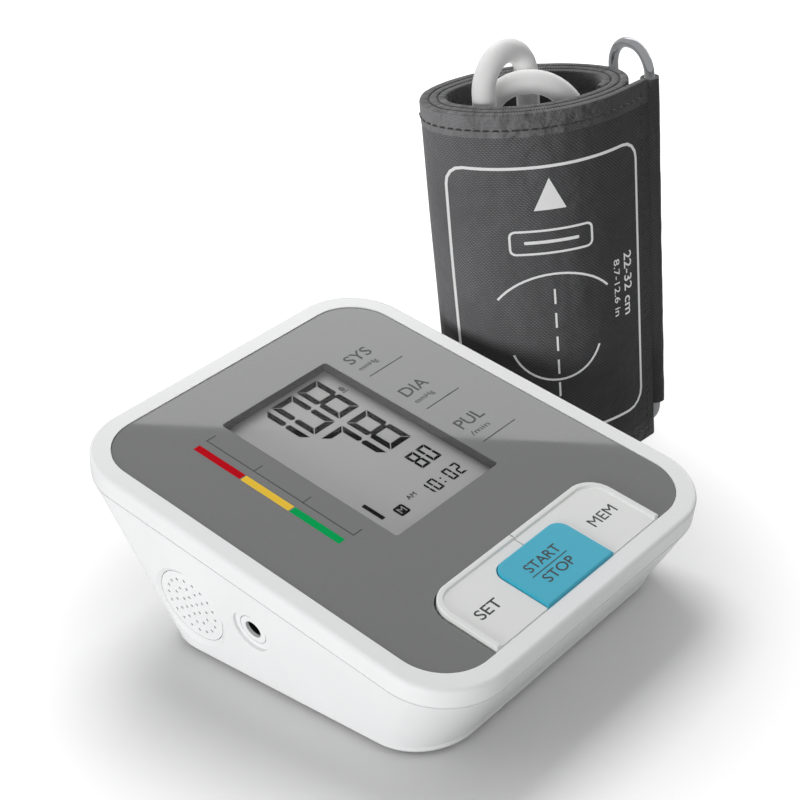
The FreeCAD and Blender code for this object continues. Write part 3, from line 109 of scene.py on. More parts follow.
FLOOR_SIZE = 6.0
FLOOR_COLOUR = (0.93, 0.93, 0.93, 1)
FLOOR_ROUGHNESS = 0.9
FLOOR_NEAR = 0.068
FLOOR_FAR = 0.128
FLOOR_GLOW = 0.36
FLOOR_RISE = 0.35
bpy.ops.object.select_all(action="DESELECT")
bpy.ops.mesh.primitive_plane_add(size=FLOOR_SIZE)
floor = bpy.context.object
floor.name = "floor"
floor_finish, floor_shader, node, link = new_finish("pale_floor")
floor_shader.inputs["Base Color"].default_value = FLOOR_COLOUR
floor_shader.inputs["Roughness"].default_value = FLOOR_ROUGHNESS
floor_shader.inputs["Specular IOR Level"].default_value = 0
floor_shader.inputs["Emission Color"].default_value = WHITE
floor_path = node("LightPath")
floor_place = node("TexCoord")
floor_reach = node("VectorMath")
floor_reach.operation = "LENGTH"
floor_lift = node("MapRange", From_Min=FLOOR_NEAR, From_Max=FLOOR_FAR, To_Min=0, To_Max=FLOOR_GLOW)
floor_lift.interpolation_type = "SMOOTHSTEP"
floor_rise = node("Math")
floor_rise.operation = "MULTIPLY_ADD"
floor_rise.inputs[1].default_value = FLOOR_RISE
floor_glow = node("Math")
floor_glow.operation = "MULTIPLY"
link(floor_place.outputs["Object"], floor_reach.inputs[0])
link(floor_reach.outputs["Value"], floor_lift.inputs["Value"])
link(floor_reach.outputs["Value"], floor_rise.inputs[0])
link(floor_lift.outputs["Result"], floor_rise.inputs[2])
link(floor_path.outputs["Is Camera Ray"], floor_glow.inputs[0])
link(floor_rise.outputs[0], floor_glow.inputs[1])
link(floor_glow.outputs[0], floor_shader.inputs["Emission Strength"])
floor.data.materials.append(floor_finish)


# Lamps: a broad one high at the back, a pale screen low on the left that lights everything but the floor,
# and a soft box on the right for gloss alone, whose edge the face mirrors as a line across the display.
def soft_lamp(name, place, aim, long_side, width, height, brightness):
    """A rectangular lamp facing its aim, with one side along a given direction."""
    lamp_data = bpy.data.lights.new(name, "AREA")
    lamp_data.shape = "RECTANGLE"
    lamp_data.size = width
    lamp_data.size_y = height
    lamp_data.energy = brightness * math.pi * width * height
    lamp = bpy.data.objects.new(name, lamp_data)
    bpy.context.scene.collection.objects.link(lamp)
    facing_back = (place - aim).normalized()
    along = (long_side - facing_back * long_side.dot(facing_back)).normalized()
    lamp.matrix_world = Matrix((along, facing_back.cross(along), facing_back)).transposed().to_4x4()
    lamp.location = place
    lamp.visible_camera = False
    return lamp


FACE_MIDDLE = Vector((10.7, 10.2, 47.4)) * MM
SOFT_BOX_EDGE = Vector((0.6426, -0.745, -0.179))
SOFT_BOX_DOWN = Vector((0.4666, 0.5658, -0.6798))
SOFT_BOX_CORNER = Vector((419.4, 487.5, 726.5)) * MM
SOFT_BOX_WIDTH = 1.5
SOFT_BOX_HEIGHT = 0.34
SOFT_BOX_LEFT = 0.13
SOFT_BOX_BRIGHTNESS = 2.2
box_along = SOFT_BOX_EDGE * (SOFT_BOX_WIDTH / 2 - SOFT_BOX_LEFT)
box_down = SOFT_BOX_DOWN * SOFT_BOX_HEIGHT / 2
soft_box_place = SOFT_BOX_CORNER + box_along + box_down
soft_box = soft_lamp("soft_box", soft_box_place, soft_box_place - SOFT_BOX_EDGE.cross(SOFT_BOX_DOWN),
                     SOFT_BOX_EDGE, SOFT_BOX_WIDTH, SOFT_BOX_HEIGHT, SOFT_BOX_BRIGHTNESS)
soft_box.visible_diffuse = False

SCREEN_PLACE = Vector((-0.95, -0.1, 0.2))
SCREEN_WIDTH = 1.0
SCREEN_HEIGHT = 0.36
SCREEN_BRIGHTNESS = 5.6
left_screen = soft_lamp("left_screen", SCREEN_PLACE, FACE_MIDDLE, Vector((0, 1, 0)),
                        SCREEN_WIDTH, SCREEN_HEIGHT, SCREEN_BRIGHTNESS)
left_screen.visible_glossy = False
off_the_floor = bpy.data.collections.new("off_the_floor")
off_the_floor.objects.link(floor)
off_the_floor.collection_objects[0].light_linking.link_state = "EXCLUDE"
left_screen.light_linking.receiver_collection = off_the_floor

BACK_LAMP_PLACE = Vector((0.5, 0.55, 1.1))
BACK_LAMP_SIZE = 0.7
BACK_LAMP_BRIGHTNESS = 6.0
back_lamp = soft_lamp("back_lamp", BACK_LAMP_PLACE, FACE_MIDDLE, Vector((1, 0, 0)),
                      BACK_LAMP_SIZE, BACK_LAMP_SIZE, BACK_LAMP_BRIGHTNESS)
back_lamp.visible_glossy = False

# Bottom case: the lower half of the housing, moulded in white plastic with the battery bay, the
# screw posts and the openings of the left wall, screwed to the top cover from below.
WHITE_PLASTIC = (0.86, 0.865, 0.87)


def two_tones(node, colour, dark, low, high, pale=1):
    """A colour ramp from a darker tone, up to one level, to a paler tone from another level on."""
    tones = node("ValToRGB")
    tones.color_ramp.elements[0].position = low
    tones.color_ramp.elements[0].color = (*[dark * part for part in colour], 1)
    tones.color_ramp.elements[1].position = high
    tones.color_ramp.elements[1].color = (*[pale * part for part in colour], 1)
    return tones


def moulded_plastic(name, colour, roughness, grain=0.4 * MM, depth=0.004 * MM):
    """Moulded plastic: a faint cloud in its colour and shine, over a fine moulded grain."""
    material, shader, node, link = new_finish(name)
    place = node("TexCoord")
    cloud = node("TexNoise", Scale=35, Detail=3)
    tint = two_tones(node, colour, dark=0.97, low=0.3, high=0.7)
    shine = node("MapRange", To_Min=0.85 * roughness, To_Max=1.15 * roughness)
    pits = node("TexNoise", Scale=1 / grain, Detail=1)
    relief = node("Bump", Strength=0.5, Distance=depth)
    link(place.outputs["Object"], cloud.inputs["Vector"])
    link(place.outputs["Object"], pits.inputs["Vector"])
    link(cloud.outputs["Fac"], tint.inputs["Fac"])
    link(tint.outputs["Color"], shader.inputs["Base Color"])
    link(cloud.outputs["Fac"], shine.inputs["Value"])
    link(shine.outputs["Result"], shader.inputs["Roughness"])
    link(pits.outputs["Fac"], relief.inputs["Height"])
    link(relief.outputs["Normal"], shader.inputs["Normal"])
    return material


def finish_node(name, material):
    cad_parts[name].material_slots[0].material = material


case_plastic = moulded_plastic("white_case_plastic", WHITE_PLASTIC, roughness=0.34)
finish_node("bottom_case", case_plastic)

# Battery door: a white plastic lid that hinges at its front edge and snaps shut at the back with a
# springy tongue.
finish_node("battery_door", case_plastic)

# Feet: four soft black rubber plugs, pressed into the wells over the case screws. They keep the
# monitor from sliding on a table.
RUBBER_BLACK = (0.018, 0.018, 0.019)
foot_rubber = moulded_plastic("foot_rubber", RUBBER_BLACK, roughness=0.72, grain=0.3 * MM, depth=0.02 * MM)
finish_node("rubber_feet", foot_rubber)


# Battery bay: four cells in printed jackets, held between contact plates and folded leaf springs of
# nickel-plated steel, which clip into the walls of the bay.
def bare_metal(name, colour, roughness):
    """Plated metal: bright, with fine scratches in its shine."""
    material, shader, node, link = new_finish(name)
    place = node("TexCoord")
    stretch = node("Mapping", Scale=(1, 0.08, 0.08))
    scratch = node("TexNoise", Scale=2600, Detail=3)
    shine = node("MapRange", From_Min=0.3, From_Max=0.75, To_Min=0.7 * roughness, To_Max=1.8 * roughness)
    tint = two_tones(node, colour, dark=0.9, low=0.25, high=0.6)
    relief = node("Bump", Strength=0.15, Distance=0.002 * MM)
    link(place.outputs["Object"], stretch.inputs["Vector"])
    link(stretch.outputs["Vector"], scratch.inputs["Vector"])
    link(scratch.outputs["Fac"], shine.inputs["Value"])
    link(shine.outputs["Result"], shader.inputs["Roughness"])
    link(scratch.outputs["Fac"], tint.inputs["Fac"])
    link(tint.outputs["Color"], shader.inputs["Base Color"])
    link(scratch.outputs["Fac"], relief.inputs["Height"])
    link(relief.outputs["Normal"], shader.inputs["Normal"])
    shader.inputs["Metallic"].default_value = 1
    return material


NICKEL = (0.66, 0.64, 0.6)
nickel = bare_metal("nickel_plate", NICKEL, roughness=0.25)
finish_node("battery_contacts", nickel)
finish_node("battery_springs", nickel)

CELL_BLACK = (0.012, 0.012, 0.014, 1)
CELL_COPPER = (0.5, 0.24, 0.09, 1)
CELL_STEEL = (0.55, 0.55, 0.55, 1)
COPPER_FROM = 0.06
BLACK_FROM = 0.34
STEEL_FROM = 0.95
cell_finish, cell_shader, node, link = new_finish("cell_jacket")
cell_low, cell_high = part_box("aa_cells")
cell_place = node("TexCoord")
cell_axes = node("SeparateXYZ")
cell_along = node("MapRange", From_Min=cell_low[1], From_Max=cell_high[1])
cell_bands = node("ValToRGB")
cell_bands.color_ramp.interpolation = "CONSTANT"
cell_bands.color_ramp.elements[0].color = CELL_STEEL
cell_bands.color_ramp.elements[1].position = STEEL_FROM
cell_bands.color_ramp.elements[1].color = CELL_STEEL
cell_bands.color_ramp.elements.new(COPPER_FROM).color = CELL_COPPER
cell_bands.color_ramp.elements.new(BLACK_FROM).color = CELL_BLACK
cell_dents = node("TexNoise", Scale=150, Detail=2)
cell_shine = node("MapRange", To_Min=0.2, To_Max=0.4)
link(cell_place.outputs["Object"], cell_axes.inputs["Vector"])
link(cell_axes.outputs["Y"], cell_along.inputs["Value"])
link(cell_along.outputs["Result"], cell_bands.inputs["Fac"])
link(cell_bands.outputs["Color"], cell_shader.inputs["Base Color"])
link(cell_place.outputs["Object"], cell_dents.inputs["Vector"])
link(cell_dents.outputs["Fac"], cell_shine.inputs["Value"])
link(cell_shine.outputs["Result"], cell_shader.inputs["Roughness"])
finish_node("aa_cells", cell_finish)

# Air line: a small motor and pump on a saddle, a release valve and a manifold, joined by soft milky
# tubes to the sensor and the socket.
STEEL = (0.6, 0.6, 0.61)
MOULDING_BLACK = (0.02, 0.02, 0.021)
TUBE_MILK = (0.62, 0.6, 0.55)
FRAME_WHITE = (0.6, 0.6, 0.58)
steel = bare_metal("bright_steel", STEEL, roughness=0.22)
black_moulding = moulded_plastic("black_moulding", MOULDING_BLACK, roughness=0.45, grain=0.3 * MM,
                                 depth=0.01 * MM)
tube_rubber = moulded_plastic("milky_tube", TUBE_MILK, roughness=0.35, grain=1.5 * MM, depth=0.01 * MM)
frame_plastic = moulded_plastic("inner_frame_plastic", FRAME_WHITE, roughness=0.45)
finish_node("pump_motor", steel)
finish_node("release_valve", steel)
finish_node("pump_head", black_moulding)
finish_node("air_manifold", black_moulding)
finish_node("pump_saddle", frame_plastic)
for name in ("pump_tube", "valve_tube", "sensor_tube", "socket_tube"):
    finish_node(name, tube_rubber)

# Circuit board: green glass-fibre board with its traces, chips, switches and sensor, screwed to the
# posts of the top cover.
BOARD_GREEN = (0.012, 0.1, 0.035, 1)
TRACE_GREEN = (0.03, 0.2, 0.07, 1)
TRACE_EDGE = 0.03
BOARD_EDGE = 0.06
BOARD_ROUGHNESS = 0.3
board_finish, board_shader, node, link = new_finish("green_board")
board_place = node("TexCoord")
board_cells = node("TexVoronoi", Scale=260)
board_cells.feature = "DISTANCE_TO_EDGE"
board_traces = node("ValToRGB")
board_traces.color_ramp.elements[0].position = TRACE_EDGE
board_traces.color_ramp.elements[0].color = TRACE_GREEN
board_traces.color_ramp.elements[1].position = BOARD_EDGE
board_traces.color_ramp.elements[1].color = BOARD_GREEN
link(board_place.outputs["Object"], board_cells.inputs["Vector"])
link(board_cells.outputs["Distance"], board_traces.inputs["Fac"])
link(board_traces.outputs["Color"], board_shader.inputs["Base Color"])
board_shader.inputs["Roughness"].default_value = BOARD_ROUGHNESS
finish_node("main_board", board_finish)
finish_node("board_screws", steel)
finish_node("case_screws", steel)
for name in ("board_chips", "tact_switches", "pressure_sensor"):
    finish_node(name, black_moulding)
for name in ("start_plunger", "set_plunger", "memory_plunger"):
    finish_node(name, black_moulding)

# Speaker: a pressed steel basket with a grey paper cone and a magnet, glued behind the grille that is
# moulded with rings of pinholes and let into the left wall.
PAPER_GREY = (0.06, 0.058, 0.055)
finish_node("speaker_basket", steel)
finish_node("speaker_magnet", black_moulding)
speaker_paper = moulded_plastic("speaker_paper", PAPER_GREY, roughness=0.85, grain=0.5 * MM, depth=0.05 * MM)
finish_node("speaker_cone", speaker_paper)
finish_node("speaker_grille", moulded_plastic("white_grille_plastic", WHITE_PLASTIC, roughness=0.4))

# Air socket: a white flanged tube through the left wall with a rubber seal behind its flange and a black
# lining pressed into its bore, which grips the plug of the cuff's hose. The lining is closed at its inner
# end by a black disc, which is painted shade for the dark depth of the bore.
SOCKET_MOUTH = Vector((-55.908, 3.0, 23.193)) * MM
SOCKET_OUT = Vector((-0.99166, 0, -0.12889))
LINING_RADIUS = 2.73 * MM
LINING_LENGTH = 10 * MM
LINING_SETBACK = 0.5 * MM
LINING_WALL = 0.1 * MM
LINING_SIDES = 40
LINING_AND_SHADE_BLACK = (0.006, 0.006, 0.006)
NEARLY_SQUARE = 0.9
SHARP_EDGE = math.radians(40)
finish_node("air_socket", moulded_plastic("white_socket_plastic", WHITE_PLASTIC, roughness=0.36))
finish_node("socket_seal", foot_rubber)
bpy.ops.object.select_all(action="DESELECT")
bpy.ops.mesh.primitive_cylinder_add(vertices=LINING_SIDES, radius=LINING_RADIUS, depth=LINING_LENGTH)
socket_lining = bpy.context.object


def pick(piece, kind, chosen):
    """Select the corners, edges or faces of a piece that pass a test, and leave it in edit mode."""
    bpy.ops.object.mode_set(mode="EDIT")
    bpy.ops.mesh.select_mode(type=kind)
    bpy.ops.mesh.select_all(action="DESELECT")
    bpy.ops.object.mode_set(mode="OBJECT")
    elements = {"VERT": piece.data.vertices, "EDGE": piece.data.edges, "FACE": piece.data.polygons}
    for element in elements[kind]:
        element.select = chosen(element)
    bpy.ops.object.mode_set(mode="EDIT")


def apply_modifier(piece, name, kind, **settings):
    """Add a modifier with its settings and apply it."""
    modifier = piece.modifiers.new(name, kind)
    for setting, choice in settings.items():
        setattr(modifier, setting, choice)
    bpy.ops.object.select_all(action="DESELECT")
    piece.select_set(True)
    bpy.context.view_layer.objects.active = piece
    bpy.ops.object.modifier_apply(modifier=name)


def dress(piece, name, material, body):
    """Name a new piece and give it its finish, the body that carries it and the finish's slot."""
    piece.name = name
    piece.data.name = name
    piece.data.materials.clear()
    piece.data.materials.append(material)
    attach(piece, body)


# Only the outer end is opened: the closed inner end stays as a black disc of painted shade.
pick(socket_lining, "FACE", lambda face: face.normal.z > NEARLY_SQUARE)
bpy.ops.mesh.delete(type="FACE")
bpy.ops.object.mode_set(mode="OBJECT")
apply_modifier(socket_lining, "wall", "SOLIDIFY", thickness=LINING_WALL, offset=-1)
bpy.ops.object.shade_smooth_by_angle(angle=SHARP_EDGE)
lining_middle = SOCKET_MOUTH - SOCKET_OUT * (LINING_SETBACK + LINING_LENGTH / 2)
lining_turn = SOCKET_OUT.to_track_quat("Z", "Y").to_matrix().to_4x4()
socket_lining.data.transform(Matrix.Translation(lining_middle) @ lining_turn)
lining_and_shade_finish = moulded_plastic("black_lining_and_painted_shade", LINING_AND_SHADE_BLACK, roughness=0.3)
dress(socket_lining, "socket_lining", lining_and_shade_finish, "monitor")

# Top cover: the upper half of the housing, with the white rim round the face, moulded in the same
# plastic as the case but polished a little more.
cover_plastic = moulded_plastic("white_cover_plastic", WHITE_PLASTIC, roughness=0.24, grain=3 * MM)
finish_node("top_cover", cover_plastic)


# Face panel: a clear acrylic plate painted grey on its back, glued into the cover's recess, so it
# has a hard flat gloss.
def painted_acrylic(name, colour):
    """Clear acrylic over paint: an even colour under a mirror-flat gloss with faint smears."""
    material, shader, node, link = new_finish(name)
    place = node("TexCoord")
    fleck = node("TexNoise", Scale=2500, Detail=1)
    tint = two_tones(node, colour, dark=0.94, low=0.35, high=0.65)
    smear = node("TexNoise", Scale=28, Detail=4)
    shine = node("MapRange", From_Min=0.35, From_Max=0.75, To_Min=0.02, To_Max=0.05)
    link(place.outputs["Object"], fleck.inputs["Vector"])
    link(place.outputs["Object"], smear.inputs["Vector"])
    link(fleck.outputs["Fac"], tint.inputs["Fac"])
    link(tint.outputs["Color"], shader.inputs["Base Color"])
    link(smear.outputs["Fac"], shine.inputs["Value"])
    link(shine.outputs["Result"], shader.inputs["Roughness"])
    return material


PANEL_GREY = (0.172, 0.177, 0.174)
finish_node("face_panel", painted_acrylic("grey_face_paint", PANEL_GREY))

# Display lens: a clear acrylic block that stands in the panel's window, flush with its face. Its face
# mirrors the room a little. A dark sleeve round it, over the cut edge of the cover, is painted shade that
# darkens the walls of the window.
FACE_TILT = math.radians(12)
FACE_HEIGHT = 45.2 * MM
FACE = Matrix.Translation((0, 0, FACE_HEIGHT)) @ Matrix.Rotation(FACE_TILT, 4, "X")
LENS_INDEX = 1.16
LENS_FRONT = 0.95
lens_finish, lens_shader, node, link = new_finish("clear_acrylic")
lens_shader.inputs["Base Color"].default_value = WHITE
lens_shader.inputs["Metallic"].default_value = 1
lens_haze = node("TexNoise", Scale=30, Detail=3)
lens_shine = node("MapRange", From_Min=0.35, From_Max=0.75, To_Min=0.01, To_Max=0.04)
lens_place = node("TexCoord")
lens_clear = node("BsdfTransparent")
lens_mirror = node("Fresnel", IOR=LENS_INDEX)
lens_side = node("NewGeometry")
lens_facing = node("VectorMath")
lens_facing.operation = "DOT_PRODUCT"
lens_facing.inputs[1].default_value = FACE.to_3x3() @ Vector((0, 0, 1))
on_top = node("Math")
on_top.operation = "GREATER_THAN"
on_top.inputs[1].default_value = LENS_FRONT
seen_outside = node("Math")
seen_outside.operation = "SUBTRACT"
face_only = node("Math")
face_only.operation = "MULTIPLY"
face_only.use_clamp = True
lens_mix = node("MixShader")
link(lens_place.outputs["Object"], lens_haze.inputs["Vector"])
link(lens_haze.outputs["Fac"], lens_shine.inputs["Value"])
link(lens_shine.outputs["Result"], lens_shader.inputs["Roughness"])
link(lens_side.outputs["Normal"], lens_facing.inputs[0])
link(lens_facing.outputs["Value"], on_top.inputs[0])
link(on_top.outputs[0], seen_outside.inputs[0])
link(lens_side.outputs["Backfacing"], seen_outside.inputs[1])
link(seen_outside.outputs[0], face_only.inputs[0])
link(lens_mirror.outputs["Fac"], face_only.inputs[1])
link(face_only.outputs[0], lens_mix.inputs["Fac"])
link(lens_clear.outputs["BSDF"], lens_mix.inputs[1])
link(lens_shader.outputs["BSDF"], lens_mix.inputs[2])
link(lens_mix.outputs["Shader"], lens_finish.node_tree.nodes["Material Output"].inputs["Surface"])
finish_node("display_lens", lens_finish)


def edge_run(piece, edge):
    """The way from one end of an edge to the other."""
    start, end = [piece.data.vertices[index].co for index in edge.vertices]
    return end - start


CORNER_STEPS = 4


def plate(left, right, low, high, thickness, corner):
    """A thin flat patch with rounded corners, drawn about level zero."""
    bpy.ops.object.select_all(action="DESELECT")
    bpy.ops.mesh.primitive_cube_add(size=1)
    patch = bpy.context.object
    patch.scale = (right - left, high - low, thickness)
    patch.location = ((left + right) / 2, (low + high) / 2, 0)
    bpy.ops.object.transform_apply()
    pick(patch, "EDGE", lambda edge: abs(edge_run(patch, edge).z) > thickness / 2)
    bpy.ops.mesh.bevel(offset=corner, segments=CORNER_STEPS)
    bpy.ops.object.mode_set(mode="OBJECT")
    return patch


def set_on_face(piece, level):
    """Move a piece that was drawn flat onto the tilted face, at a height square to it."""
    piece.data.transform(FACE @ Matrix.Translation((0, 0, level)))


WINDOW_LEFT = -20.68 * MM
WINDOW_RIGHT = 22.18 * MM
WINDOW_FRONT = -19.58 * MM
WINDOW_BACK = 46.88 * MM
WINDOW_CORNER = 1 * MM
SLEEVE_DEPTH = 2.9 * MM
SLEEVE_TOP = -0.38 * MM
SLEEVE_WALL = 0.08 * MM
# The sleeve's dark colour is painted shade on the walls of the window round the lens.
SLEEVE_SHADE_BLACK = (0.07, 0.07, 0.07)
window_sleeve = plate(WINDOW_LEFT, WINDOW_RIGHT, WINDOW_FRONT, WINDOW_BACK, SLEEVE_DEPTH, WINDOW_CORNER)
pick(window_sleeve, "FACE", lambda face: abs(face.normal.z) > NEARLY_SQUARE)
bpy.ops.mesh.delete(type="FACE")
bpy.ops.object.mode_set(mode="OBJECT")
apply_modifier(window_sleeve, "wall", "SOLIDIFY", thickness=SLEEVE_WALL, offset=-1)
set_on_face(window_sleeve, SLEEVE_TOP - SLEEVE_DEPTH / 2)
sleeve_painted_shade = moulded_plastic("window_sleeve_painted_shade", SLEEVE_SHADE_BLACK, roughness=0.5)
dress(window_sleeve, "window_sleeve", sleeve_painted_shade, "monitor")

# Display glass: two glass plates with the liquid crystal between them, over a grey mirror film. It
# lies under the lens in its frame, and its strips join it to the board.
DISPLAY_GREY = (0.36, 0.362, 0.36)
display_film = moulded_plastic("display_film", DISPLAY_GREY, roughness=0.5, grain=0.25 * MM,
                               depth=0.002 * MM)
finish_node("lcd_glass", display_film)
finish_node("lcd_frame", frame_plastic)
finish_node("elastomer_strips", foot_rubber)


# Figures on the display: dark seven-segment numbers, a memory mark and small signs, etched in the
# glass and lying just on its upper face. Places are measured on the face from its middle.
def face_level(name):
    """How high a node reaches, measured square to the face."""
    return max((FACE.inverted() @ corner.co).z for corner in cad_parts[name].data.vertices)


def join_pieces(parts):
    """Make one piece of several, with their places in the mesh."""
    bpy.ops.object.select_all(action="DESELECT")
    for part in parts:
        part.select_set(True)
    bpy.context.view_layer.objects.active = parts[0]
    bpy.ops.object.transform_apply()
    if len(parts) > 1:
        bpy.ops.object.join()
    return bpy.context.object


def figure_bar(length, stroke, thickness, mitred=()):
    """One upright stroke of a figure: pointed, or cut slantwise at some ends, longer on its right."""
    tip = stroke / math.sqrt(3)
    bpy.ops.object.select_all(action="DESELECT")
    bpy.ops.mesh.primitive_cylinder_add(vertices=6, radius=tip, depth=thickness)
    bar = bpy.context.object
    for end in (1, -1):
        pick(bar, "VERT", lambda corner: corner.co.y * end > 0)
        bpy.ops.transform.translate(value=(0, end * (length / 2 - tip), 0))
        bpy.ops.object.mode_set(mode="OBJECT")
    for end in mitred:
        for side in (1, -1):
            pick(bar, "VERT", lambda corner: corner.co.y * end > 0 and corner.co.x * side > stroke / 4)
            bpy.ops.transform.translate(value=(0, end * (tip / 2 + side * stroke / 2), 0))
            bpy.ops.object.mode_set(mode="OBJECT")
    return bar


INK_DEPTH = 0.04 * MM
INK_LIFT = 0.6 * INK_DEPTH
FIGURE_SLANT = math.radians(3.3)
BAR_GAP = 0.2
LIT_BARS = {"0": "abcdef", "1": "bc", "2": "abged", "7": "abc", "8": "abcdefg"}


def figures(digits, left, low, width, height, pitch, stroke):
    """A row of seven-segment figures, copied from four bars that are turned to their places."""
    gap = BAR_GAP * stroke
    half = (width - stroke) / 2
    rise = (height - stroke) / 2
    level = figure_bar(2 * half - gap, stroke, INK_DEPTH, (1, -1))
    middle = figure_bar(2 * half - gap, stroke, INK_DEPTH)
    upper = figure_bar(rise - gap, stroke, INK_DEPTH, (1,))
    lower = figure_bar(rise - gap, stroke, INK_DEPTH, (-1,))
    places = {"a": (level, 90, 0, rise), "g": (middle, 90, 0, 0), "d": (level, -90, 0, -rise),
              "b": (upper, 0, half, rise / 2), "e": (upper, 180, -half, -rise / 2),
              "c": (lower, 0, half, -rise / 2), "f": (lower, 180, -half, rise / 2)}
    bars = []
    for index, digit in enumerate(digits):
        for letter in LIT_BARS[digit]:
            model, turn, across, up = places[letter]
            bar = model.copy()
            bar.data = model.data.copy()
            bpy.context.scene.collection.objects.link(bar)
            bar.rotation_euler.z = math.radians(turn)
            bar.location = (index * pitch + width / 2 + across, height / 2 + up, 0)
            bars.append(bar)
    for model in (level, middle, upper, lower):
        bpy.data.objects.remove(model)
    row = join_pieces(bars)
    slant = Matrix.Shear("XY", 4, (math.tan(FIGURE_SLANT), 0))
    row.data.transform(Matrix.Translation((left, low, 0)) @ slant)
    return row


LETTER_DEPTH = 0.1
LETTER_STEPS = 6
LETTER_WELD = 0.0005 * MM


def lettering(words, left, right, low, high, weight=0):
    """Printed words as a flat mesh that fills a box, made bolder by a weight."""
    bpy.ops.object.select_all(action="DESELECT")
    bpy.ops.object.text_add()
    bpy.context.object.data.body = words
    bpy.context.object.data.offset = weight
    bpy.context.object.data.extrude = LETTER_DEPTH
    bpy.context.object.data.resolution_u = LETTER_STEPS
    bpy.ops.object.convert(target="MESH")
    letters = bpy.context.object
    corners = [corner.co for corner in letters.data.vertices]
    start = min(corner.x for corner in corners)
    across = (right - left) / (max(corner.x for corner in corners) - start)
    up = (high - low) / max(corner.y for corner in corners)
    letters.scale = (across, up, INK_DEPTH / (2 * LETTER_DEPTH))
    letters.location = (left - start * across, low, 0)
    bpy.ops.object.transform_apply()
    bpy.ops.object.mode_set(mode="EDIT")
    bpy.ops.mesh.select_all(action="SELECT")
    bpy.ops.mesh.remove_doubles(threshold=LETTER_WELD)
    bpy.ops.object.mode_set(mode="OBJECT")
    return letters


INK_GLOSS = 0.2


def printing_ink(name, colour, gloss=INK_GLOSS):
    """Screen-printed ink: an even colour with the faint mesh marks of the screen."""
    material, shader, node, link = new_finish(name)
    place = node("TexCoord")
    screen = node("TexNoise", Scale=6000, Detail=1)
    tint = two_tones(node, colour, dark=0.9, low=0.3, high=0.7)
    relief = node("Bump", Strength=0.3, Distance=0.003 * MM)
    link(place.outputs["Object"], screen.inputs["Vector"])
    link(screen.outputs["Fac"], tint.inputs["Fac"])
    link(tint.outputs["Color"], shader.inputs["Base Color"])
    link(screen.outputs["Fac"], relief.inputs["Height"])
    link(relief.outputs["Normal"], shader.inputs["Normal"])
    shader.inputs["Roughness"].default_value = 0.5
    shader.inputs["Specular IOR Level"].default_value = gloss
    return material


BIG_FIGURE = {"width": 8.8 * MM, "height": 17.4 * MM, "pitch": 10.5 * MM, "stroke": 2.05 * MM}
PULSE_FIGURE = {"width": 3.65 * MM, "height": 7.05 * MM, "pitch": 4.8 * MM, "stroke": 0.9 * MM}
CLOCK_FIGURE = {"width": 2.55 * MM, "height": 5 * MM, "pitch": 3.5 * MM, "stroke": 0.65 * MM}
READINGS = (("108", -12.7 * MM, 28 * MM, BIG_FIGURE), ("78", -2.2 * MM, 8 * MM, BIG_FIGURE),
            ("80", 8.5 * MM, -3.8 * MM, PULSE_FIGURE), ("10", 1.1 * MM, -13.2 * MM, CLOCK_FIGURE),
            ("02", 10.9 * MM, -13.2 * MM, CLOCK_FIGURE))
UPPER_DOT = (8.5 * MM, 9.1 * MM, -10.3 * MM, -9.7 * MM)
LOWER_DOT = (8.4 * MM, 9 * MM, -12.3 * MM, -11.7 * MM)
LEVEL_BAR = (-15.8 * MM, -14.4 * MM, -10.2 * MM, -2.5 * MM)
DOT_CORNER = 0.2 * MM
MEMORY_BOX = (-10.9 * MM, -7.1 * MM, -13.2 * MM, -9.3 * MM)
MEMORY_CORNER = 0.7 * MM
MEMORY_LETTER = (-10.1 * MM, -7.9 * MM, -12.4 * MM, -10.1 * MM)
LETTER_LIFT = 1.7 * INK_DEPTH
MORNING_SIGN = (-4.4 * MM, -1 * MM, -10 * MM, -8.3 * MM)
BELL_BODY = (18.5 * MM, 20.1 * MM, 36.1 * MM, 38.5 * MM)
BELL_CORNER = 0.75 * MM
BELL_FOOT = (18.1 * MM, 20.5 * MM, 35.5 * MM, 35.9 * MM)
BELL_FOOT_CORNER = 0.1 * MM
FIGURE_BLACK = (0.006, 0.006, 0.007)
FIGURE_FAINT = (0.13, 0.13, 0.13)
GLASS_TOP = face_level("lcd_glass")
figure_ink = printing_ink("figure_black", FIGURE_BLACK, gloss=0)
clear_ink = printing_ink("figure_clear", DISPLAY_GREY, gloss=0)
faint_ink = printing_ink("figure_faint", FIGURE_FAINT, gloss=0)
display_figures = join_pieces([
    *[figures(digits, left, low, **size) for digits, left, low, size in READINGS],
    plate(*UPPER_DOT, INK_DEPTH, DOT_CORNER),
    plate(*LOWER_DOT, INK_DEPTH, DOT_CORNER),
    plate(*LEVEL_BAR, INK_DEPTH, DOT_CORNER),
    plate(*MEMORY_BOX, INK_DEPTH, MEMORY_CORNER),
    lettering("AM", *MORNING_SIGN),
])
set_on_face(display_figures, GLASS_TOP + INK_LIFT)
dress(display_figures, "display_figures", figure_ink, "monitor")
memory_sign = lettering("M", *MEMORY_LETTER)
set_on_face(memory_sign, GLASS_TOP + LETTER_LIFT)
dress(memory_sign, "memory_sign", clear_ink, "monitor")
bell_sign = join_pieces([
    plate(*BELL_BODY, INK_DEPTH, BELL_CORNER),
    plate(*BELL_FOOT, INK_DEPTH, BELL_FOOT_CORNER),
])
set_on_face(bell_sign, GLASS_TOP + INK_LIFT)
dress(bell_sign, "bell_sign", faint_ink, "monitor")

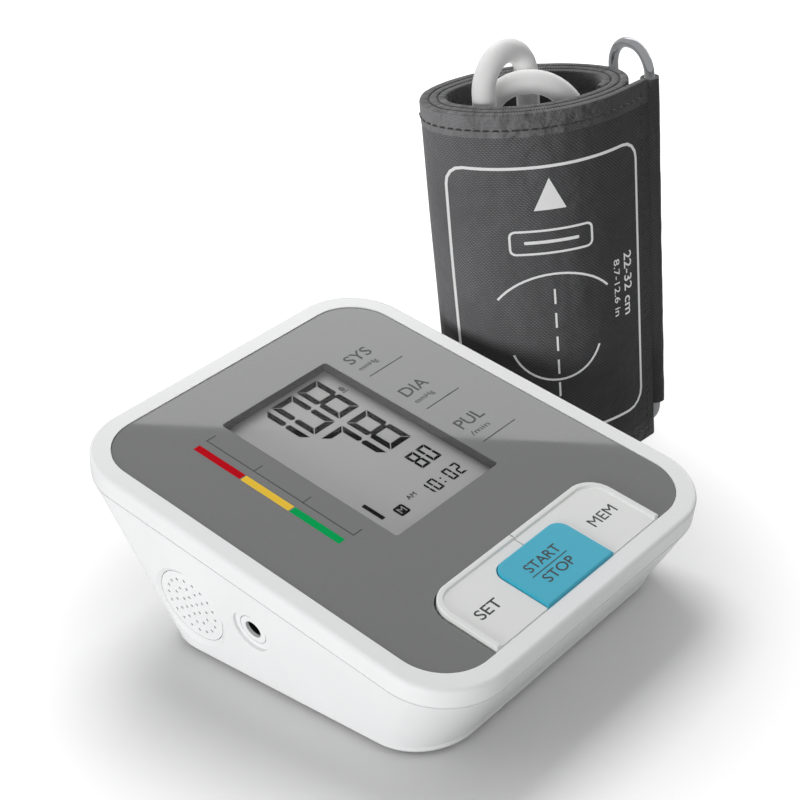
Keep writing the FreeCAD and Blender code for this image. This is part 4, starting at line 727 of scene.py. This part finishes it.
# Printing on the face panel: the colour scale for the reading with its bracket, and a name and a
# unit beside each row of the display, screen-printed on the acrylic.
PANEL_TOP = face_level("face_panel")
SCALE_LEFT = -33.7 * MM
SCALE_RIGHT = -31.3 * MM
SCALE_BACK = 44.6 * MM
SCALE_STEP = 18.57 * MM
SCALE_GAP = 0.4 * MM
SCALE_CORNER = 0.1 * MM
SCALE_COLOURS = {"high": (0.55, 0.002, 0.01), "raised": (0.95, 0.62, 0.06), "normal": (0.001, 0.4, 0.1)}
SCALE_GLOSS = 0.02
LINE_GREY = (0.05, 0.052, 0.054)
LABEL_GREY = (0.085, 0.087, 0.088)


def print_on_panel(name, colour, parts, gloss=INK_GLOSS):
    """Join printed parts, lay them on the panel and give them their ink."""
    printed = join_pieces(parts)
    set_on_face(printed, PANEL_TOP + INK_LIFT)
    dress(printed, name, printing_ink(name + "_ink", colour, gloss), "monitor")


scale_back = SCALE_BACK
for meaning, colour in SCALE_COLOURS.items():
    scale_front = scale_back - SCALE_STEP + SCALE_GAP
    scale_bar = plate(SCALE_LEFT, SCALE_RIGHT, scale_front, scale_back, INK_DEPTH, SCALE_CORNER)
    print_on_panel("scale_" + meaning, colour, [scale_bar], SCALE_GLOSS)
    scale_back -= SCALE_STEP

BRACKET = -28.5 * MM
BRACKET_TICK = 3.2 * MM
HAIRLINE = 0.3 * MM
HAIRLINE_CORNER = 0.1 * HAIRLINE


def hairline(left, right, low, high):
    """A thin printed line from one place to another, along or across the face."""
    half = HAIRLINE / 2
    return plate(left - half, right + half, low - half, high + half, INK_DEPTH, HAIRLINE_CORNER)


scale_steps = len(SCALE_COLOURS)
bracket_lines = [hairline(BRACKET, BRACKET, SCALE_BACK - scale_steps * SCALE_STEP, SCALE_BACK)]
for index in range(scale_steps + 1):
    tick = SCALE_BACK - index * SCALE_STEP
    bracket_lines.append(hairline(BRACKET, BRACKET + BRACKET_TICK, tick, tick))
print_on_panel("scale_bracket", LINE_GREY, bracket_lines)

LABELS = (("SYS", 36.6 * MM, 40.5 * MM, "mmHg"), ("DIA", 37.1 * MM, 18.3 * MM, "mmHg"),
          ("PUL", 37.2 * MM, -2.9 * MM, "/min"))
LABEL_LEFT = 27 * MM
LABEL_HEIGHT = 4.1 * MM
LABEL_WEIGHT = 0.004
UNIT_RIGHT = 34.6 * MM
UNIT_HEIGHT = 1.8 * MM
UNIT_DROP = 4 * MM
UNDERLINE_RIGHT = 41.2 * MM
UNDERLINE_DROP = 7.6 * MM
label_parts = []
label_lines = []
for words, right, low, unit in LABELS:
    unit_low = low - UNIT_DROP
    underline = low - UNDERLINE_DROP
    label_parts.append(lettering(words, LABEL_LEFT, right, low, low + LABEL_HEIGHT, LABEL_WEIGHT))
    label_parts.append(lettering(unit, LABEL_LEFT, UNIT_RIGHT, unit_low, unit_low + UNIT_HEIGHT))
    label_lines.append(hairline(LABEL_LEFT, UNDERLINE_RIGHT, underline, underline))
print_on_panel("row_labels", LABEL_GREY, label_parts)
print_on_panel("row_lines", LINE_GREY, label_lines)

# Keys: a blue start key and two white keys that fold round it, moulded in satin plastic with stems
# that press the switches. What they do is printed on the blue face and on the white ones' dished floors.
KEY_WHITE = (0.8, 0.81, 0.8)
KEY_BLUE = (0.035, 0.42, 0.58)
KEY_GREY = (0.055, 0.057, 0.062)
KEY_DISH = 0.8 * MM
SET_PLACE = (-29.6 * MM, -21.1 * MM, -56 * MM, -52.6 * MM)
SET_WEIGHT = 0.006
MEMORY_PLACE = (19.4 * MM, 29.6 * MM, -55.6 * MM, -52.2 * MM)
START_PLACE = (-8 * MM, 5.3 * MM, -54.6 * MM, -51.5 * MM)
STOP_PLACE = (-7.2 * MM, 4.5 * MM, -60.2 * MM, -57.1 * MM)
START_WEIGHT = 0.005
START_LINE = (-8.8 * MM, 5.4 * MM, -55.9 * MM, -55.9 * MM)
key_ink = printing_ink("key_ink", KEY_GREY)
white_key_plastic = moulded_plastic("white_key_plastic", KEY_WHITE, roughness=0.38)
finish_node("set_button", white_key_plastic)
finish_node("memory_button", white_key_plastic)
finish_node("start_stop_button", moulded_plastic("blue_key_plastic", KEY_BLUE, roughness=0.4))
set_words = lettering("SET", *SET_PLACE, SET_WEIGHT)
set_on_face(set_words, face_level("set_button") - KEY_DISH + INK_LIFT)
dress(set_words, "set_words", key_ink, "set_key")
memory_words = lettering("MEM", *MEMORY_PLACE)
set_on_face(memory_words, face_level("memory_button") - KEY_DISH + INK_LIFT)
dress(memory_words, "memory_words", key_ink, "memory_key")
start_words = join_pieces([
    lettering("START", *START_PLACE, START_WEIGHT),
    lettering("STOP", *STOP_PLACE, START_WEIGHT),
    hairline(*START_LINE),
])
set_on_face(start_words, face_level("start_stop_button") + INK_LIFT)
dress(start_words, "start_words", key_ink, "start_key")

# Cuff: one long strip of black nylon cloth, rolled up round its hose and stood on end. The strip is
# drawn flat, as it is sewn: cloth, edge tapes, stitches and printing. Then all of it is rolled up.
CUFF_MIDDLE = Vector((94, 20, 0)) * MM
CUFF_ANGLE = math.radians(-45)
CUFF_HEIGHT = 120 * MM
CLOTH_THICKNESS = 2.2 * MM
LAYER_GAP = 0.4 * MM
ROLL_HALF_LONG = 30.9 * MM
ROLL_HALF_SHORT = 20.9 * MM
ROLL_END_RADIUS = 15 * MM
ROLL_ARCS = 12
ARCS_PER_TURN = 4
TAIL_LENGTH = 13 * MM
cuff_place = Matrix.Translation(CUFF_MIDDLE) @ Matrix.Rotation(CUFF_ANGLE, 4, "Z")
roll_end = ROLL_HALF_LONG - ROLL_END_RADIUS
roll_side_radius = ((roll_end ** 2 + ROLL_HALF_SHORT ** 2 - ROLL_END_RADIUS ** 2)
                    / (2 * (ROLL_HALF_SHORT - ROLL_END_RADIUS)))
roll_join = math.atan2(roll_side_radius - ROLL_HALF_SHORT, roll_end)


def heading(angle):
    return Vector((math.cos(angle), math.sin(angle), 0))


roll_start = Vector((roll_end, 0, 0)) + heading(-roll_join) * ROLL_END_RADIUS
tail_heading = Vector((math.sin(roll_join), math.cos(roll_join), 0))
hem_middle = cuff_place @ (roll_start + tail_heading * TAIL_LENGTH)
roll = []
roll_point = roll_start
roll_angle = -roll_join
strip_length = TAIL_LENGTH
for index in range(ROLL_ARCS):
    on_side = index % 2 == 0
    drawn_in = index * (CLOTH_THICKNESS + LAYER_GAP) / ARCS_PER_TURN
    radius = (roll_side_radius if on_side else ROLL_END_RADIUS) - drawn_in
    sweep = math.pi - 2 * roll_join if on_side else 2 * roll_join
    centre = roll_point - heading(roll_angle) * radius
    roll.append((centre, radius, roll_angle, strip_length))
    strip_length += radius * sweep
    roll_angle -= sweep
    roll_point = centre + heading(roll_angle) * radius

SLACK = 0.9 * MM
SLACK_FROM = 16 * MM
SLACK_TO = 140 * MM
SLACK_FADE = 14 * MM
RIPPLE_LONG = 17 * MM
RIPPLE_HIGH = 38 * MM
RIPPLE_HELD = 12 * MM
RIPPLE_LAYER = 0.5
PUCKER = 0.5 * MM
PUCKER_PITCH = 3.4 * MM
PUCKER_REACH = 11 * MM
PUCKER_LAYER = 3.5


def slack(along, height):
    """How far the loose outer turn stands off: broad ripples, and puckers beside the sewn edges."""
    fade = min(1, max(0, (along - SLACK_FROM) / SLACK_FADE), max(0, (SLACK_TO - along) / SLACK_FADE))
    to_edge = min(height, CUFF_HEIGHT - height)
    ripple = 0.5 + 0.5 * noise.noise(Vector((along / RIPPLE_LONG, height / RIPPLE_HIGH, RIPPLE_LAYER)))
    loose = 1 - math.exp(-to_edge / RIPPLE_HELD)
    pucker = 0.5 + 0.5 * noise.noise(Vector((along / PUCKER_PITCH, PUCKER_LAYER, 0)))
    sewn = math.exp(-to_edge / PUCKER_REACH)
    return fade * (SLACK * ripple * loose + PUCKER * pucker * sewn)


def roll_up(piece):
    """Roll a flat piece of the strip: its x runs back from the hem, y up and z outwards."""
    flat_place = piece.data.uv_layers.active or piece.data.uv_layers.new()
    for loop in piece.data.loops:
        flat_place.data[loop.index].uv = piece.data.vertices[loop.vertex_index].co.xy
    for corner in piece.data.vertices:
        along = -corner.co.x
        height = corner.co.y
        off = corner.co.z
        if off > 0:
            off += slack(along, height)
        if along < TAIL_LENGTH:
            outward = heading(-roll_join)
            spot = roll_start + tail_heading * (TAIL_LENGTH - along) + outward * off
        else:
            centre, radius, angle, start = [arc for arc in roll if arc[3] <= along][-1]
            outward = heading(angle - (along - start) / radius)
            spot = centre + outward * (radius + off)
        corner.co = cuff_place @ Vector((spot.x, spot.y, height))


def cloth_grid(near_hem, far_end, low, high, columns, rows):
    """A flat piece of cloth between two distances from the hem, divided so that it can bend."""
    bpy.ops.object.select_all(action="DESELECT")
    bpy.ops.mesh.primitive_grid_add(x_subdivisions=columns, y_subdivisions=rows, size=1)
    cloth = bpy.context.object
    cloth.scale = (far_end - near_hem, high - low, 1)
    cloth.location = (-(far_end + near_hem) / 2, (low + high) / 2, 0)
    bpy.ops.object.transform_apply()
    return cloth


WAVE_PERIOD = 0.314
CREASES_PER_METRE = 170


def woven_cloth(name, colour, pitch, depth, crease):
    """Twill nylon on the flat strip: slanting threads, worn paler in places, over soft creases."""
    material, shader, node, link = new_finish(name)
    place = node("TexCoord")
    warp = node("TexWave", Scale=WAVE_PERIOD / pitch, Distortion=0.5, Detail=1)
    weft = node("TexWave", Scale=WAVE_PERIOD / pitch, Distortion=0.5, Detail=1)
    warp.bands_direction = "DIAGONAL"
    weft.bands_direction = "Y"
    weave = node("Math")
    weave.operation = "MULTIPLY"
    wear = node("TexNoise", Scale=55, Detail=5)
    shade = node("Math")
    shade.operation = "MULTIPLY"
    tint = two_tones(node, colour, dark=0.55, low=0, high=0.5, pale=1.35)
    relief = node("Bump", Strength=0.7, Distance=depth)
    folds = node("TexNoise", Scale=CREASES_PER_METRE, Detail=3)
    creased = node("Bump", Strength=1, Distance=crease)
    link(place.outputs["UV"], folds.inputs["Vector"])
    link(folds.outputs["Fac"], creased.inputs["Height"])
    link(creased.outputs["Normal"], relief.inputs["Normal"])
    link(place.outputs["UV"], warp.inputs["Vector"])
    link(place.outputs["UV"], weft.inputs["Vector"])
    link(place.outputs["Object"], wear.inputs["Vector"])
    link(warp.outputs["Fac"], weave.inputs[0])
    link(weft.outputs["Fac"], weave.inputs[1])
    link(weave.outputs[0], relief.inputs["Height"])
    link(weave.outputs[0], shade.inputs[0])
    link(wear.outputs["Fac"], shade.inputs[1])
    link(shade.outputs[0], tint.inputs["Fac"])
    link(tint.outputs["Color"], shader.inputs["Base Color"])
    link(relief.outputs["Normal"], shader.inputs["Normal"])
    shader.inputs["Roughness"].default_value = 0.6
    shader.inputs["Specular IOR Level"].default_value = 0.1
    shader.inputs["Sheen Weight"].default_value = 0.04
    shader.inputs["Sheen Roughness"].default_value = 0.4
    return material


CLOTH_BLACK = (0.056, 0.056, 0.058)
CLOTH_START = 2.6 * MM
CLOTH_COLUMNS = 420
CLOTH_ROWS = 60
black_nylon = woven_cloth("black_nylon", CLOTH_BLACK, pitch=0.55 * MM, depth=0.06 * MM, crease=0.9 * MM)
cuff_cloth = cloth_grid(CLOTH_START, strip_length, 0, CUFF_HEIGHT, CLOTH_COLUMNS, CLOTH_ROWS)
apply_modifier(cuff_cloth, "two_faces", "SOLIDIFY", thickness=CLOTH_THICKNESS, offset=0)
roll_up(cuff_cloth)
bpy.ops.object.shade_smooth_by_angle(angle=SHARP_EDGE)
dress(cuff_cloth, "cuff_cloth", black_nylon, "cuff")
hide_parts("cuff_wrap")

# Edge tapes: a narrow ribbed tape of black nylon, folded over the upper and lower edges of the strip
# and sewn down, so that the cut edges can't fray.
TAPE_BLACK = (0.085, 0.085, 0.087)
TAPE_HEIGHT = 7 * MM
TAPE_PROUD = 0.14 * MM
TAPE_ROUND = 0.5 * MM
TAPE_OVERHANG = 0.25 * MM
TAPE_CUTS = (83, 4)
TAPE_LEAST_RUN = 1 * MM
TAPE_SHARP_EDGE = math.radians(50)
tape_finish = woven_cloth("black_tape", TAPE_BLACK, pitch=0.4 * MM, depth=0.03 * MM, crease=2.5 * MM)


def edge_tape(name, low):
    """A tape round one edge of the strip, cut across many times so that it rolls up with the cloth."""
    bpy.ops.object.select_all(action="DESELECT")
    bpy.ops.mesh.primitive_cube_add(size=1)
    tape = bpy.context.object
    tape.scale = (strip_length - CLOTH_START, TAPE_HEIGHT, CLOTH_THICKNESS + 2 * TAPE_PROUD)
    tape.location = (-(strip_length + CLOTH_START) / 2, low + TAPE_HEIGHT / 2, 0)
    bpy.ops.object.transform_apply()
    pick(tape, "EDGE", lambda edge: abs(edge_run(tape, edge).x) > TAPE_HEIGHT)
    bpy.ops.mesh.bevel(offset=TAPE_ROUND, segments=3)
    bpy.ops.object.mode_set(mode="OBJECT")
    for cuts in TAPE_CUTS:
        pick(tape, "EDGE", lambda edge: abs(edge_run(tape, edge).x) > TAPE_LEAST_RUN)
        bpy.ops.mesh.subdivide(number_cuts=cuts)
        bpy.ops.object.mode_set(mode="OBJECT")
    roll_up(tape)
    bpy.ops.object.shade_smooth_by_angle(angle=TAPE_SHARP_EDGE)
    dress(tape, name, tape_finish, "cuff")
    return tape


upper_tape = edge_tape("upper_tape", CUFF_HEIGHT - TAPE_HEIGHT + TAPE_OVERHANG)
lower_tape = edge_tape("lower_tape", 0)

# Stitches: short loops of black thread, one modelled and repeated along each tape and down the
# seam of the hem.
THREAD_BLACK = (0.006, 0.006, 0.006)
THREAD_RADIUS = 0.3 * MM
THREAD_PROUD = 0.3 * THREAD_RADIUS
THREAD_SUNK = 0.6 * THREAD_RADIUS
THREAD_TAPER = 0.35
STITCH_LENGTH = 2 * MM
STITCH_PITCH = 2.7 * MM
STITCH_STRAIGHT = 0.6 * STITCH_LENGTH
STITCH_END = 0.2 * STITCH_LENGTH
SEAM_START = 7 * MM
SEAM_UP = 2.8 * MM
SEAM_STITCHES = 58
HEM_SEAM_START = (5.6 * MM, 3 * MM)
HEM_STITCHES = 43
thread_finish = moulded_plastic("sewing_thread", THREAD_BLACK, roughness=0.6, grain=0.15 * MM,
                                depth=0.03 * MM)


def stitch_row(name, start, off, run, count):
    """A row of stitches that starts at a place of the flat strip and goes along one direction."""
    bpy.ops.object.select_all(action="DESELECT")
    bpy.ops.mesh.primitive_cylinder_add(vertices=6, radius=THREAD_RADIUS, rotation=(0, math.pi / 2, 0),
                                        depth=STITCH_STRAIGHT)
    row = bpy.context.object
    bpy.ops.object.transform_apply()
    pick(row, "FACE", lambda face: abs(face.normal.x) > NEARLY_SQUARE)
    bpy.ops.mesh.extrude_faces_move(TRANSFORM_OT_shrink_fatten={"value": STITCH_END})
    bpy.ops.object.mode_set(mode="OBJECT")
    for corner in row.data.vertices:
        if abs(corner.co.x) > (STITCH_STRAIGHT + STITCH_END) / 2:
            corner.co.yz = corner.co.yz * THREAD_TAPER - Vector((0, THREAD_SUNK))
    turn = Vector((1, 0, 0)).rotation_difference(run).to_matrix().to_4x4()
    row.data.transform(Matrix.Translation((-start[0], start[1], off)) @ turn)
    apply_modifier(row, "along_the_seam", "ARRAY", count=count, use_relative_offset=False,
                   use_constant_offset=True, constant_offset_displace=run * STITCH_PITCH)
    roll_up(row)
    bpy.ops.object.shade_smooth()
    dress(row, name, thread_finish, "cuff")
    return row


ON_CLOTH = CLOTH_THICKNESS / 2 + THREAD_PROUD
ON_TAPE = CLOTH_THICKNESS / 2 + TAPE_PROUD + THREAD_PROUD
BACKWARDS = Vector((-1, 0, 0))
UPWARDS = Vector((0, 1, 0))
upper_start = (SEAM_START, CUFF_HEIGHT - TAPE_HEIGHT + SEAM_UP)
lower_start = (SEAM_START, TAPE_HEIGHT - SEAM_UP)
seams = [
    stitch_row("upper_seam", upper_start, ON_TAPE, BACKWARDS, SEAM_STITCHES),
    stitch_row("lower_seam", lower_start, ON_TAPE, BACKWARDS, SEAM_STITCHES),
    stitch_row("hem_seam", HEM_SEAM_START, ON_CLOTH, UPWARDS, HEM_STITCHES),
]

# Cuff printing: a white frame with a pointer, a plain range bar, guide lines and the arm size, all on
# the strip's outer face where it covers the front of the roll.
PRINT_WHITE = (0.86, 0.86, 0.86)
PRINT_MIDDLE = -39 * MM
PRINT_FRAME = (-70 * MM, -8.2 * MM, 14 * MM, 104.6 * MM)
PRINT_FRAME_CORNER = 6.3 * MM
PRINT_FRAME_STROKE = 0.9 * MM
PRINT_STROKE = 0.7 * MM
PRINT_LIFT = 0.8 * INK_DEPTH


def outline(left, right, low, high, corner, stroke):
    """A printed line round a rectangle with rounded corners."""
    line = plate(left, right, low, high, INK_DEPTH, corner)
    pick(line, "FACE", lambda face: abs(face.normal.z) > NEARLY_SQUARE)
    bpy.ops.mesh.inset(thickness=stroke)
    bpy.ops.mesh.delete(type="FACE")
    bpy.ops.object.mode_set(mode="OBJECT")
    return line


ARC_STEPS = 18
ARC_BAR = 0.05 * MM
ARC_BAR_CORNER = 0.01 * MM


def arc_line(middle, height, radius, start, sweep, stroke):
    """A printed arc, spun from a short bar."""
    line = plate(radius - stroke / 2, radius + stroke / 2, -ARC_BAR, ARC_BAR, INK_DEPTH, ARC_BAR_CORNER)
    line.data.transform(Matrix.Rotation(start, 4, "Z"))
    pick(line, "FACE", lambda face: face.normal.dot(heading(start + math.pi / 2)) > NEARLY_SQUARE)
    bpy.ops.mesh.spin(steps=ARC_STEPS, angle=-sweep, center=(0, 0, 0), axis=(0, 0, 1))
    bpy.ops.object.mode_set(mode="OBJECT")
    line.data.transform(Matrix.Translation((middle, height, 0)))
    return line


POINTER_RADIUS = 6 * MM
POINTER_STRETCH = (0.9, 1.1, 1)
POINTER_HEIGHT = 94 * MM
bpy.ops.object.select_all(action="DESELECT")
bpy.ops.mesh.primitive_cylinder_add(vertices=3, radius=POINTER_RADIUS, depth=INK_DEPTH)
pointer = bpy.context.object
pointer.scale = POINTER_STRETCH
pointer.location = (PRINT_MIDDLE, POINTER_HEIGHT, 0)
bpy.ops.object.transform_apply()

ARM_SIZE_BOX = (0, 21 * MM, 0, 3.2 * MM)
ARM_SIZE_PLACE = (-15.2 * MM, 70 * MM, 0)
ARM_SIZE_WEIGHT = 0.01
ARM_INCHES_BOX = (0, 19 * MM, 0, 2.2 * MM)
ARM_INCHES_PLACE = (-19.4 * MM, 69 * MM, 0)
downwards = Matrix.Rotation(-math.pi / 2, 4, "Z")
arm_size = lettering("22-32 cm", *ARM_SIZE_BOX, ARM_SIZE_WEIGHT)
arm_size.data.transform(Matrix.Translation(ARM_SIZE_PLACE) @ downwards)
arm_inches = lettering("8.7-12.6 in", *ARM_INCHES_BOX)
arm_inches.data.transform(Matrix.Translation(ARM_INCHES_PLACE) @ downwards)

DASH_LEFT = PRINT_MIDDLE - 0.3 * MM
DASH_RIGHT = PRINT_MIDDLE + 0.3 * MM
DASH_LENGTH = 5
DASH_FEET = range(28, 68, 8)
DASH_CORNER = 0.1 * MM
guide_dashes = [plate(DASH_LEFT, DASH_RIGHT, foot * MM, (foot + DASH_LENGTH) * MM, INK_DEPTH, DASH_CORNER)
                for foot in DASH_FEET]

RANGE_BOX = (PRINT_MIDDLE - 12.5 * MM, PRINT_MIDDLE + 12.5 * MM, 76.6 * MM, 84.6 * MM)
RANGE_BOX_CORNER = 2 * MM
RANGE_BAR = (PRINT_MIDDLE - 8 * MM, PRINT_MIDDLE + 8 * MM, 80.1 * MM, 81.1 * MM)
RANGE_BAR_CORNER = 0.3 * MM
ARC_HEIGHT = 48 * MM
UPPER_ARC = (22 * MM, math.radians(40), math.radians(100))
LOWER_ARC = (14 * MM, math.radians(200), math.radians(140))
cuff_print = join_pieces([
    outline(*PRINT_FRAME, PRINT_FRAME_CORNER, PRINT_FRAME_STROKE),
    outline(*RANGE_BOX, RANGE_BOX_CORNER, PRINT_STROKE),
    plate(*RANGE_BAR, INK_DEPTH, RANGE_BAR_CORNER),
    arc_line(PRINT_MIDDLE, ARC_HEIGHT, *UPPER_ARC, PRINT_STROKE),
    arc_line(PRINT_MIDDLE, ARC_HEIGHT, *LOWER_ARC, PRINT_STROKE),
    arm_size, arm_inches, pointer, *guide_dashes,
])
bpy.ops.object.mode_set(mode="EDIT")
for column in range(CLOTH_COLUMNS):
    thread = -CLOTH_START - column * (strip_length - CLOTH_START) / CLOTH_COLUMNS
    if PRINT_FRAME[0] < thread < PRINT_FRAME[1]:
        bpy.ops.mesh.select_all(action="SELECT")
        bpy.ops.mesh.bisect(plane_co=(thread, 0, 0), plane_no=(1, 0, 0))
for row in range(CLOTH_ROWS):
    bpy.ops.mesh.select_all(action="SELECT")
    bpy.ops.mesh.bisect(plane_co=(0, row * CUFF_HEIGHT / CLOTH_ROWS, 0), plane_no=(0, 1, 0))
bpy.ops.object.mode_set(mode="OBJECT")
cuff_print.data.transform(Matrix.Translation((0, 0, CLOTH_THICKNESS / 2 + PRINT_LIFT)))
roll_up(cuff_print)
dress(cuff_print, "cuff_print", printing_ink("cuff_ink", PRINT_WHITE), "cuff")

# Hem: the cloth's outer end turned back on itself as an upright sleeve, which the ring's post goes
# through. It is sewn down beside the sleeve.
HEM_RADIUS = 3 * MM
HEM_CLOTH = 1.1 * MM
HEM_LOW = 11.5 * MM
HEM_PUCKER = 0.2 * MM
HEM_PUCKER_PITCH = 5 * MM
HEM_SIDES = 28
HEM_CUTS = 60
bpy.ops.object.select_all(action="DESELECT")
bpy.ops.mesh.primitive_cylinder_add(vertices=HEM_SIDES, radius=HEM_RADIUS - HEM_PUCKER,
                                    depth=CUFF_HEIGHT - HEM_LOW, end_fill_type="NOTHING")
hem_sleeve = bpy.context.object
pick(hem_sleeve, "EDGE", lambda edge: abs(edge_run(hem_sleeve, edge).z) > HEM_LOW)
bpy.ops.mesh.subdivide(number_cuts=HEM_CUTS)
bpy.ops.object.mode_set(mode="OBJECT")
hem_around = 2 * math.pi * HEM_RADIUS
sleeve_places = hem_sleeve.data.uv_layers.active.data
for loop in hem_sleeve.data.loops:
    height = hem_sleeve.data.vertices[loop.vertex_index].co.z
    sleeve_places[loop.index].uv = (sleeve_places[loop.index].uv.x * hem_around, height)
for corner in hem_sleeve.data.vertices:
    side = corner.co / HEM_RADIUS
    bulge = HEM_PUCKER * noise.noise(Vector((3 * side.x, side.y, corner.co.z / HEM_PUCKER_PITCH)))
    corner.co.xy = corner.co.xy * (1 + bulge / HEM_RADIUS)
hem_sleeve.data.transform(Matrix.Translation((hem_middle.x, hem_middle.y, (CUFF_HEIGHT + HEM_LOW) / 2)))
apply_modifier(hem_sleeve, "cloth", "SOLIDIFY", thickness=HEM_CLOTH, offset=-1)
bpy.ops.object.shade_smooth_by_angle(angle=TAPE_SHARP_EDGE)
dress(hem_sleeve, "hem_sleeve", black_nylon, "cuff")
sewn_pieces = [hem_sleeve, upper_tape, lower_tape, cuff_print, *seams]

# Bladder: a flat bag of thin dark film, welded at its edges and slipped between the two faces of the
# cloth, where the air swells it.
BLADDER_GREY = (0.09, 0.085, 0.08)
BLADDER_THICKNESS = 0.6 * MM
BLADDER_LOW = 8.2 * MM
BLADDER_HIGH = 111.8 * MM
BLADDER_TRIM = math.radians(1)
BLADDER_FIRST = 5
BLADDER_LAST = 8
BLADDER_COLUMNS = 80
BLADDER_ROWS = 12
bladder_start = roll[BLADDER_FIRST][3] + roll[BLADDER_FIRST][1] * BLADDER_TRIM
bladder_end = roll[BLADDER_LAST + 1][3] - roll[BLADDER_LAST][1] * BLADDER_TRIM
air_bladder = cloth_grid(bladder_start, bladder_end, BLADDER_LOW, BLADDER_HIGH,
                         BLADDER_COLUMNS, BLADDER_ROWS)
apply_modifier(air_bladder, "film", "SOLIDIFY", thickness=BLADDER_THICKNESS, offset=0)
roll_up(air_bladder)
bladder_film = moulded_plastic("bladder_film", BLADDER_GREY, roughness=0.5, grain=2 * MM, depth=0.03 * MM)
dress(air_bladder, "air_bladder", bladder_film, "cuff")
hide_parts("bladder")

# Hose: soft grey rubber, folded three times and tucked into the rolled cuff, so that two arches
# stand out at the top. It is pushed on the elbow's barb and ends in the plug, both hard grey plastic.
HOSE_GREY = (0.85, 0.85, 0.845)
HOSE_RADIUS = 3.5 * MM
HOSE_ROUTE = [
    (80.795, 25.921, 22), (80.795, 25.921, 116.786), (80.795, 25.921, 125.113),
    (86.682, 25.864, 131), (95.008, 25.784, 131),
    (100.895, 25.727, 125.113), (100.895, 25.727, 116.786),
    (100.895, 25.727, 23.161), (100.895, 25.727, 16.916),
    (96.965, 27.741, 12.5), (91.408, 30.589, 12.5),
    (87.478, 32.603, 16.916), (87.478, 32.603, 23.161),
    (87.478, 32.603, 101.485), (87.478, 32.603, 113.268),
    (91.874, 25.525, 121.6), (98.09, 15.516, 121.6),
    (102.486, 8.438, 113.268), (102.486, 8.438, 101.485), (102.486, 8.438, 46),
]
hose_curve = bpy.data.curves.new("hose_line", "CURVE")
hose_curve.dimensions = "3D"
hose_line = hose_curve.splines.new("NURBS")
hose_line.points.add(len(HOSE_ROUTE) - 1)
for point, spot in zip(hose_line.points, HOSE_ROUTE):
    point.co = (*Vector(spot) * MM, 1)
hose_line.order_u = 3
hose_line.use_endpoint_u = True
hose_curve.resolution_u = 16
hose_curve.bevel_depth = HOSE_RADIUS
hose_curve.bevel_resolution = 6
hose_curve.use_fill_caps = True
hose = bpy.data.objects.new("hose_line", hose_curve)
bpy.context.scene.collection.objects.link(hose)
hose_rubber = moulded_plastic("hose_rubber", HOSE_GREY, roughness=0.42, grain=1.2 * MM, depth=0.01 * MM)
dress(hose, "hose_line", hose_rubber, "cuff")
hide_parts("air_hose")
FITTING_GREY = (0.4, 0.4, 0.4)
fitting_plastic = moulded_plastic("hose_fitting_plastic", FITTING_GREY, roughness=0.4)
finish_node("hose_elbow", fitting_plastic)
finish_node("air_plug", fitting_plastic)

# Ring: bright chromed wire, bent to a long D whose straight post hangs in the sleeve of the hem, so that the
# ring can swing. Its colour is darkened: painted shade that stands in for the dark surroundings chrome
# mirrors.
# The dark colour of the chrome is painted shade for the dark surroundings that it would mirror.
RING_CHROME_PAINTED_DARK = (0.28, 0.285, 0.295)
finish_node("d_ring", bare_metal("ring_chrome", RING_CHROME_PAINTED_DARK, roughness=0.1))

# The cuff out of the mirrors: the cuff, its hose and its ring aren't mirrored in the monitor's glossy
# face, as the photograph shows it.
for cuff_piece in [cuff_cloth, *sewn_pieces, air_bladder, hose]:
    cuff_piece.visible_glossy = False
for name in ("hose_elbow", "air_plug", "d_ring"):
    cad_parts[name].visible_glossy = False

# The cuff's own lamp: the cuff is lit hard from the left, as the photograph shows it, by a lamp that
# falls on its dark cloth alone.
CUFF_LAMP_PLACE = Vector((-0.66, 0.29, 0.22))
CUFF_LAMP_SIZE = 0.4
CUFF_LAMP_BRIGHTNESS = 28
cuff_lamp = soft_lamp("cuff_lamp", CUFF_LAMP_PLACE, CUFF_MIDDLE, Vector((0, 0, 1)),
                      CUFF_LAMP_SIZE, CUFF_LAMP_SIZE, CUFF_LAMP_BRIGHTNESS)
cuff_lamp.visible_glossy = False
dark_cloth = bpy.data.collections.new("dark_cloth")
for cloth_piece in (cuff_cloth, hem_sleeve, upper_tape, lower_tape, *seams):
    dark_cloth.objects.link(cloth_piece)
cuff_lamp.light_linking.receiver_collection = dark_cloth

# The back lamp's shade: only the two halves of the case and the face panel stand in its way, so the
# cuff throws no shade on the face.
shade_makers = bpy.data.collections.new("shade_makers")
for name in ("bottom_case", "top_cover", "face_panel"):
    shade_makers.objects.link(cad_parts[name])
back_lamp.light_linking.blocker_collection = shade_makers
